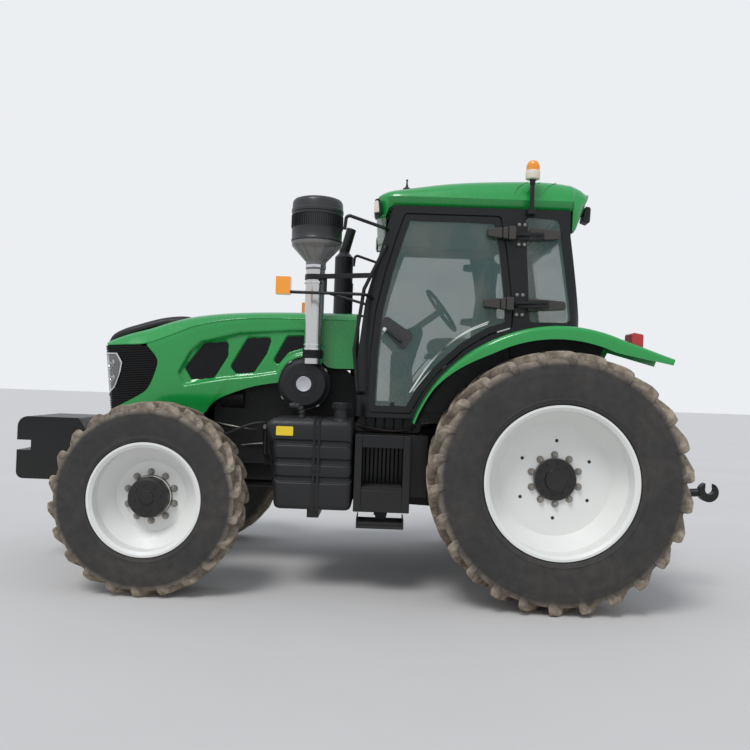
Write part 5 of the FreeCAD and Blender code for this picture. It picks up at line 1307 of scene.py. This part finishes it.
# Share of the tank's length and how far its outline is drawn in there
TANK_ENDS = ((0.0, 0.050), (0.006, 0.028), (0.020, 0.013), (0.045, 0.004), (0.085, 0.0), (0.5, 0.0),
             (0.915, 0.0), (0.955, 0.004), (0.980, 0.013), (0.994, 0.028), (1.0, 0.050))


def drawn_in(at, middle, inset):
    """A coordinate moved toward the middle, unless it is close to it."""
    size = abs(at - middle)
    return middle + (at - middle) * (1 - inset / size) if size > 0.06 else at


def add_tanks():
    """Grooved tank on each side with its neck, cap, vent and straps, and the blank plate on the left."""
    for side, hand in SIDES:
        low, top, inner, outer = 0.590, 1.212, 0.430, 0.950
        line = [(inner, low + 0.03, 0), (inner + 0.03, low, 0.01), (outer, low, 0.035)]
        for groove_low, groove_high in TANK_GROOVES:
            line += [(outer, groove_low, 0.012), (outer - 0.016, groove_low + 0.010, 0.005),
                     (outer - 0.016, groove_high - 0.010, 0.005), (outer, groove_high, 0.012)]
        line += [(outer, top, 0.05), (inner, top, 0.03)]
        outline = rounded(line, 3)
        front = through(TANK_FRONT)
        rings = []
        for share, inset in TANK_ENDS:
            ring = []
            for p in outline:
                y = drawn_in(p.x, (inner + outer) / 2, inset)
                z = drawn_in(p.y, (low + top) / 2, inset)
                ring.append(spot(TANK_REAR + (front(z) - TANK_REAR) * share, y * side, z))
            rings.append(ring)
        tank = Form().rings(rings)
        neck = spot(1.466, 0.860 * side, 0)
        tank.turn([(1.195, 0.075), (1.212, 0.062), (1.220, 0.052), (1.290, 0.052)], neck, Z, 40)
        tank.piece(f"tank_{hand}", "black_moulding", "chassis", ["side_tanks"], sharp=35)
        cap = Form()
        cap.turn([(1.284, 0.050), (1.286, 0.060), (1.294, 0.063), (1.324, 0.062), (1.330, 0.056),
                  (1.3305, 0.030)], neck, Z)
        cap.fins(neck, 24, 1.290, 1.326, 0.058, 0.0665, 0.004, 0.6)
        cap.piece(f"tank_cap_{hand}", "black_moulding", "chassis")
        vent = Form()
        points = [Vector((1.745, 0.820, 1.200)), Vector((1.745, 0.820, 1.240)), Vector((1.748, 0.820, 1.268)),
                  Vector((1.765, 0.820, 1.288)), Vector((1.792, 0.820, 1.294)), Vector((1.830, 0.820, 1.294))]
        for k, p in enumerate(points[:-1]):
            way = points[k + 1] - p
            run = way.length
            vent.turn([(0, 0.021), (run * 0.2, 0.0245), (run * 0.5, 0.0245), (run * 0.7, 0.021),
                       (run + 0.002, 0.021)], spot(p.x, p.y * side, p.z), way.normalized(), 20)
        vent.piece(f"tank_vent_{hand}", "black_moulding", "chassis", material="soft_rubber")
        straps = Form(side)
        for x in (1.601, 1.632):
            straps.block(x, x + 0.018, 0.951, 0.9555, 0.590, 1.216, 0.002)
            straps.block(x, x + 0.018, 0.440, 0.9555, 1.2125, 1.217)
        straps.block(1.596, 1.655, 0.951, 0.962, 0.860, 0.900)
        straps.piece(f"tank_straps_{hand}", "black_paint", "chassis", bevel=0.0015)
    plate = Form().block(1.788, 1.905, 0.9505, 0.9522, 1.094, 1.157, 0.006)
    plate.piece("tank_plate", "black_moulding", "chassis", bevel=0.0005, material="yellow_plate")


def squared(turn):
    """Both coordinates of a point on a rounded square."""
    return [math.copysign(abs(part) ** 0.30, part) for part in (math.cos(turn), math.sin(turn))]


def pad_surface(name, centre, size, tilt, channels, crown):
    """Crowned cushion whose sides pull in between its corners, with sewn channels across it."""
    around, along = 72, 40
    rings = []
    turned = Matrix.Rotation(tilt, 3, "Y")
    for i in range(along + 1):
        v = -math.pi / 2 + math.pi * (i + 0.02) / (along + 0.04)
        up = math.copysign(abs(math.sin(v)) ** 0.55, math.sin(v))
        wide = abs(math.cos(v)) ** 0.35
        ring = []
        for j in range(around):
            a, b = squared(2 * math.pi * j / around)
            pull = 1 - 0.030 * (1 - min(abs(a), abs(b)) ** 2)
            x, y = a * wide * pull, b * wide * pull
            z = up * (1 + crown * (1 - x * x) * (1 - y * y) * (1 if up > 0 else 0.2))
            if up > 0.3:
                z -= 0.10 * sum(math.exp(-((x - c) / 0.030) ** 2) for c in channels) * (1 - abs(y) ** 6)
            ring.append(centre + turned @ Vector((x * size.x, y * size.y, z * size.z)))
        rings.append(ring)
    pad = Form().rings(rings).piece(name, "seat_fabric", "chassis", ["seat_cushion"], origin=centre, sharp=80)
    seam = Form()
    ring = []
    for j in range(96):
        a, b = squared(2 * math.pi * j / 96)
        pull = 1.004 - 0.030 * (1 - min(abs(a), abs(b)) ** 2)
        ring.append(centre + turned @ Vector((a * pull * size.x, b * pull * size.y, 0.004)))
    rings = []
    for k, p in enumerate(ring):
        run = (ring[(k + 1) % 96] - ring[k - 1]).normalized()
        side = run.cross(turned @ Z).normalized()
        lift = turned @ Z
        rings.append([p + side * 0.0035, p + lift * 0.0035, p - side * 0.0035, p - lift * 0.0035])
    seam.rings(rings, loop=True).piece(f"{name}_piping", "seat_fabric", "chassis", material="soft_rubber")


def add_seat():
    """Seat cushion, back and the spine behind it."""
    pad_surface("seat_pad", spot(0.600, 0, 1.786), Vector((0.240, 0.232, 0.058)), 0.0,
                (-0.45, 0.0, 0.45), 0.25)
    pad_surface("seat_back", spot(0.395, 0, 2.150), Vector((0.330, 0.225, 0.055)), math.radians(-97),
                (-0.5, 0.0, 0.5), 0.25)
    spine = Form()
    spine.side_plate([(0.345, 1.800, 0.01), (0.372, 1.800, 0.01), (0.345, 2.300, 0.01),
                      (0.318, 2.300, 0.01)], -0.080, 0.080)
    spine.piece("seat_spine", "black_moulding", "chassis", bevel=0.004)


add_roof()
add_antenna()
add_fenders()
add_door_details()
add_tanks()
add_seat()


# Steps, seals, hoses and engine parts


DOOR_LINE = [(1.079, 2.668), (1.129, 2.512), (1.198, 2.270), (1.259, 1.987), (1.284, 1.705), (1.293, 1.354),
             (1.289, 1.262), (0.600, 1.262), (0.285, 1.600), (0.285, 2.020), (0.341, 2.439), (0.392, 2.684)]
STEP_MIDDLE = 1.1695


def add_seals():
    """Dark rubber behind the gap round each door."""
    middle = Vector((0.75, 1.95))
    for side, hand in SIDES:
        rings = []
        for x, z in DOOR_LINE:
            inward = (middle - Vector((x, z))).normalized()
            rings.append([spot(x + inward.x * push, y * side, z + inward.y * push) for push, y in
                          ((-0.016, 0.752), (-0.016, 0.770), (0.014, 0.770), (0.014, 0.752))])
        Form().rings(rings, loop=True).piece(f"door_seal_{hand}", "black_moulding", "chassis",
                                             material="soft_rubber")


def add_steps():
    """Step box with its ribbed recess and pierced lip, and the lower tread on a hanger."""
    for side, hand in SIDES:
        box = Form(side)
        box.block(0.977, 1.030, 0.565, 0.948, 0.590, 1.118)
        box.block(1.310, 1.362, 0.565, 0.948, 0.590, 1.118)
        box.block(1.028, 1.312, 0.565, 0.946, 1.030, 1.118)
        box.block(1.028, 1.312, 0.565, 0.946, 0.590, 0.742)
        box.block(1.028, 1.312, 0.565, 0.700, 0.740, 1.032)
        for k in range(9):
            x = 1.052 + 0.029 * k
            box.block(x, x + 0.010, 0.698, 0.722, 0.764, 1.020)
        box.block(0.849, 0.979, 0.565, 0.750, 0.675, 1.116)
        box.piece(f"step_box_{hand}", "black_paint", "chassis", ["steps"], bevel=0.008)
        tread = Form(side)
        for k in range(8):
            y = 0.722 + 0.030 * k
            tread.block(1.032, 1.308, y, y + 0.012, 0.742, 0.762)
        for k in range(8):
            y = 0.714 + 0.030 * k
            tread.block(STEP_MIDDLE - 0.155, STEP_MIDDLE + 0.165, y, y + 0.016, 0.496, 0.519)
        tread.piece(f"step_treads_{hand}", "black_paint", "chassis", bevel=0.002)
        hanger = Form(side)
        hanger.side_plate([(STEP_MIDDLE - 0.050, 0.600, 0.004), (STEP_MIDDLE + 0.050, 0.600, 0.004),
                           (STEP_MIDDLE + 0.032, 0.500, 0.004), (STEP_MIDDLE - 0.032, 0.500, 0.004)],
                          0.800, 0.812)
        hanger.block(STEP_MIDDLE - 0.157, STEP_MIDDLE + 0.168, 0.712, 0.958, 0.480, 0.498)
        for x in (STEP_MIDDLE - 0.157, STEP_MIDDLE + 0.160):
            hanger.block(x, x + 0.008, 0.712, 0.958, 0.482, 0.550)
        hanger.piece(f"step_hanger_{hand}", "black_moulding", "chassis", bevel=0.003)


def add_under_cab():
    """Dark apron below the cab floor and the cables in front of it."""
    for side, hand in SIDES:
        apron = Form(side)
        apron.side_plate([(0.900, 1.120, 0.03), (1.400, 1.120, 0.03), (1.345, 1.236, 0.01),
                          (0.900, 1.236, 0.01)], 0.430, 0.660)
        for k in range(6):
            x = 0.960 + 0.066 * k
            apron.block(x, x + 0.012, 0.655, 0.668, 1.135, 1.225)
        apron.piece(f"cab_apron_{hand}", "black_moulding", "chassis", bevel=0.006)
        routes = [[spot(1.400, (0.600 + 0.016 * k) * side, 1.150 + 0.012 * k),
                   spot(1.300, (0.680 + 0.010 * k) * side, 1.140 + 0.010 * k),
                   spot(1.150, (0.690 + 0.008 * k) * side, 1.126 + 0.004 * k),
                   spot(1.000, (0.682 + 0.008 * k) * side, 1.140), spot(0.920, 0.640 * side, 1.180)]
                  for k in range(3)]
        hoses(f"cab_cables_{hand}", routes, 0.008, "black_moulding", "chassis", "brown_moulding")


# Filters by the engine: name, place, foot, top, radius and slot
FILTERS = (("fuel_filter", 1.905, 0.930, 1.085, 0.046, "white_paint"),
           ("oil_filter", 2.040, 0.900, 1.095, 0.052, "black_paint"))
# Routes on the left side, from an end inside the engine or its filters to the other
ENGINE_HOSES = [[(1.905, 0.310, 1.110), (1.900, 0.350, 1.120), (1.820, 0.365, 1.150), (1.700, 0.350, 1.130),
                 (1.560, 0.330, 1.160), (1.440, 0.230, 1.160)],
                [(2.040, 0.310, 1.125), (2.050, 0.360, 1.150), (2.180, 0.372, 1.135), (2.330, 0.350, 1.060),
                 (2.440, 0.240, 1.020)],
                [(1.620, 0.230, 0.930), (1.700, 0.330, 0.960), (1.800, 0.352, 1.020), (1.850, 0.350, 0.960),
                 (1.960, 0.330, 0.840), (2.080, 0.230, 0.820)]]
ENGINE_PIPES = [[(1.500, 0.230, 1.020), (1.560, 0.300, 1.030), (1.760, 0.308, 1.050), (1.860, 0.300, 0.990),
                 (2.200, 0.300, 0.980), (2.340, 0.230, 0.940)],
                [(2.140, 0.230, 1.080), (2.200, 0.320, 1.090), (2.400, 0.320, 1.120), (2.500, 0.230, 1.140)]]


def add_engine_parts():
    """Filters, pipes and hoses on the sides of the engine."""
    for side, hand in SIDES:
        for name, x, low, top, radius, slot in FILTERS:
            can = Form().turn([(low - 0.010, radius * 0.45), (low - 0.004, radius * 0.8),
                               (low + 0.010, radius), (top - 0.016, radius),
                               (top - 0.010, radius * 1.06), (top, radius * 1.06),
                               (top + 0.004, radius * 0.9)], spot(x, 0.290 * side, 0), Z, 40)
            can.piece(f"{name}_{hand}", slot, "chassis")
            head = Form(side)
            head.side_plate([(x - 0.050, top, 0.012), (x + 0.050, top, 0.012),
                             (x + 0.042, top + 0.052, 0.018), (x - 0.042, top + 0.052, 0.018)], 0.190, 0.330)
            head.hex_bolt(spot(x, 0.290 * side, top + 0.050), Z, 0.014, 0.012)
            head.piece(f"{name}_head_{hand}", "bare_steel", "chassis", bevel=0.004)
        for kind, lines, radius, hose_slot, material in (
                ("hoses", ENGINE_HOSES, 0.011, "black_moulding", "soft_rubber"),
                ("pipes", ENGINE_PIPES, 0.0065, "bare_steel", None)):
            routes = [spots(side, line) for line in lines]
            hoses(f"engine_{kind}_{hand}", routes, radius, hose_slot, "chassis", material)


add_seals()
add_steps()
add_under_cab()
add_engine_parts()


# Floor, backdrop and light


FLOOR_SIZE = 60.0
SKY_LOW = rgb(0.78, 0.80, 0.83)
SKY_HIGH = rgb(0.72, 0.78, 0.87)
SKY_STRENGTH = 0.85
BACKDROP = rgb(0.84, 0.86, 0.89)
SUN_STRENGTH = 1.5
SUN_SPREAD = 22.0
SUN_FROM = Vector((0.30, 0.62, 1.0))


def add_stage():
    """Pale floor that meets an even backdrop, under a soft sky and one broad sun."""
    mesh = bpy.data.meshes.new("floor")
    corners = [(-1, -1), (1, -1), (1, 1), (-1, 1)]
    mesh.from_pydata([(x * FLOOR_SIZE, y * FLOOR_SIZE, 0) for x, y in corners], [], [(0, 1, 2, 3)])
    floor = add_object("floor", mesh)
    g = Graph(bpy.data.materials.new("floor"))
    grey = g.mix(g.noise(0.8, 6.0), rgb(0.56, 0.545, 0.53), rgb(0.62, 0.605, 0.59))
    mesh.materials.append(g.done(Base_Color=grey, Roughness=0.9))
    sky = Graph(bpy.data.worlds.new("sky"))
    bpy.context.scene.world = sky.owner
    light = sky.tree.nodes["Background"]
    height = sky.split(sky.places["Generated"])["Z"]
    sky.put(light.inputs["Color"], sky.mix(sky.ramp(height, -0.05, 0.9), SKY_LOW, SKY_HIGH))
    sky.put(light.inputs["Strength"], SKY_STRENGTH)
    seen = sky.node("ShaderNodeBackground", Color=BACKDROP)
    camera_ray = sky.node("ShaderNodeLightPath").outputs["Is Camera Ray"]
    pick = sky.node("ShaderNodeMixShader")
    for socket, value in zip(pick.inputs, (camera_ray, light.outputs[0], seen.outputs[0])):
        sky.put(socket, value)
    sky.put(sky.tree.nodes["World Output"].inputs["Surface"], pick.outputs[0])
    sun = bpy.data.lights.new("sun", "SUN")
    sun.energy = SUN_STRENGTH
    sun.angle = math.radians(SUN_SPREAD)
    lamp = add_object("sun", sun)
    lamp.rotation_euler = SUN_FROM.to_track_quat("Z", "Y").to_euler()
    bpy.context.scene.view_settings.view_transform = "Standard"


add_stage()
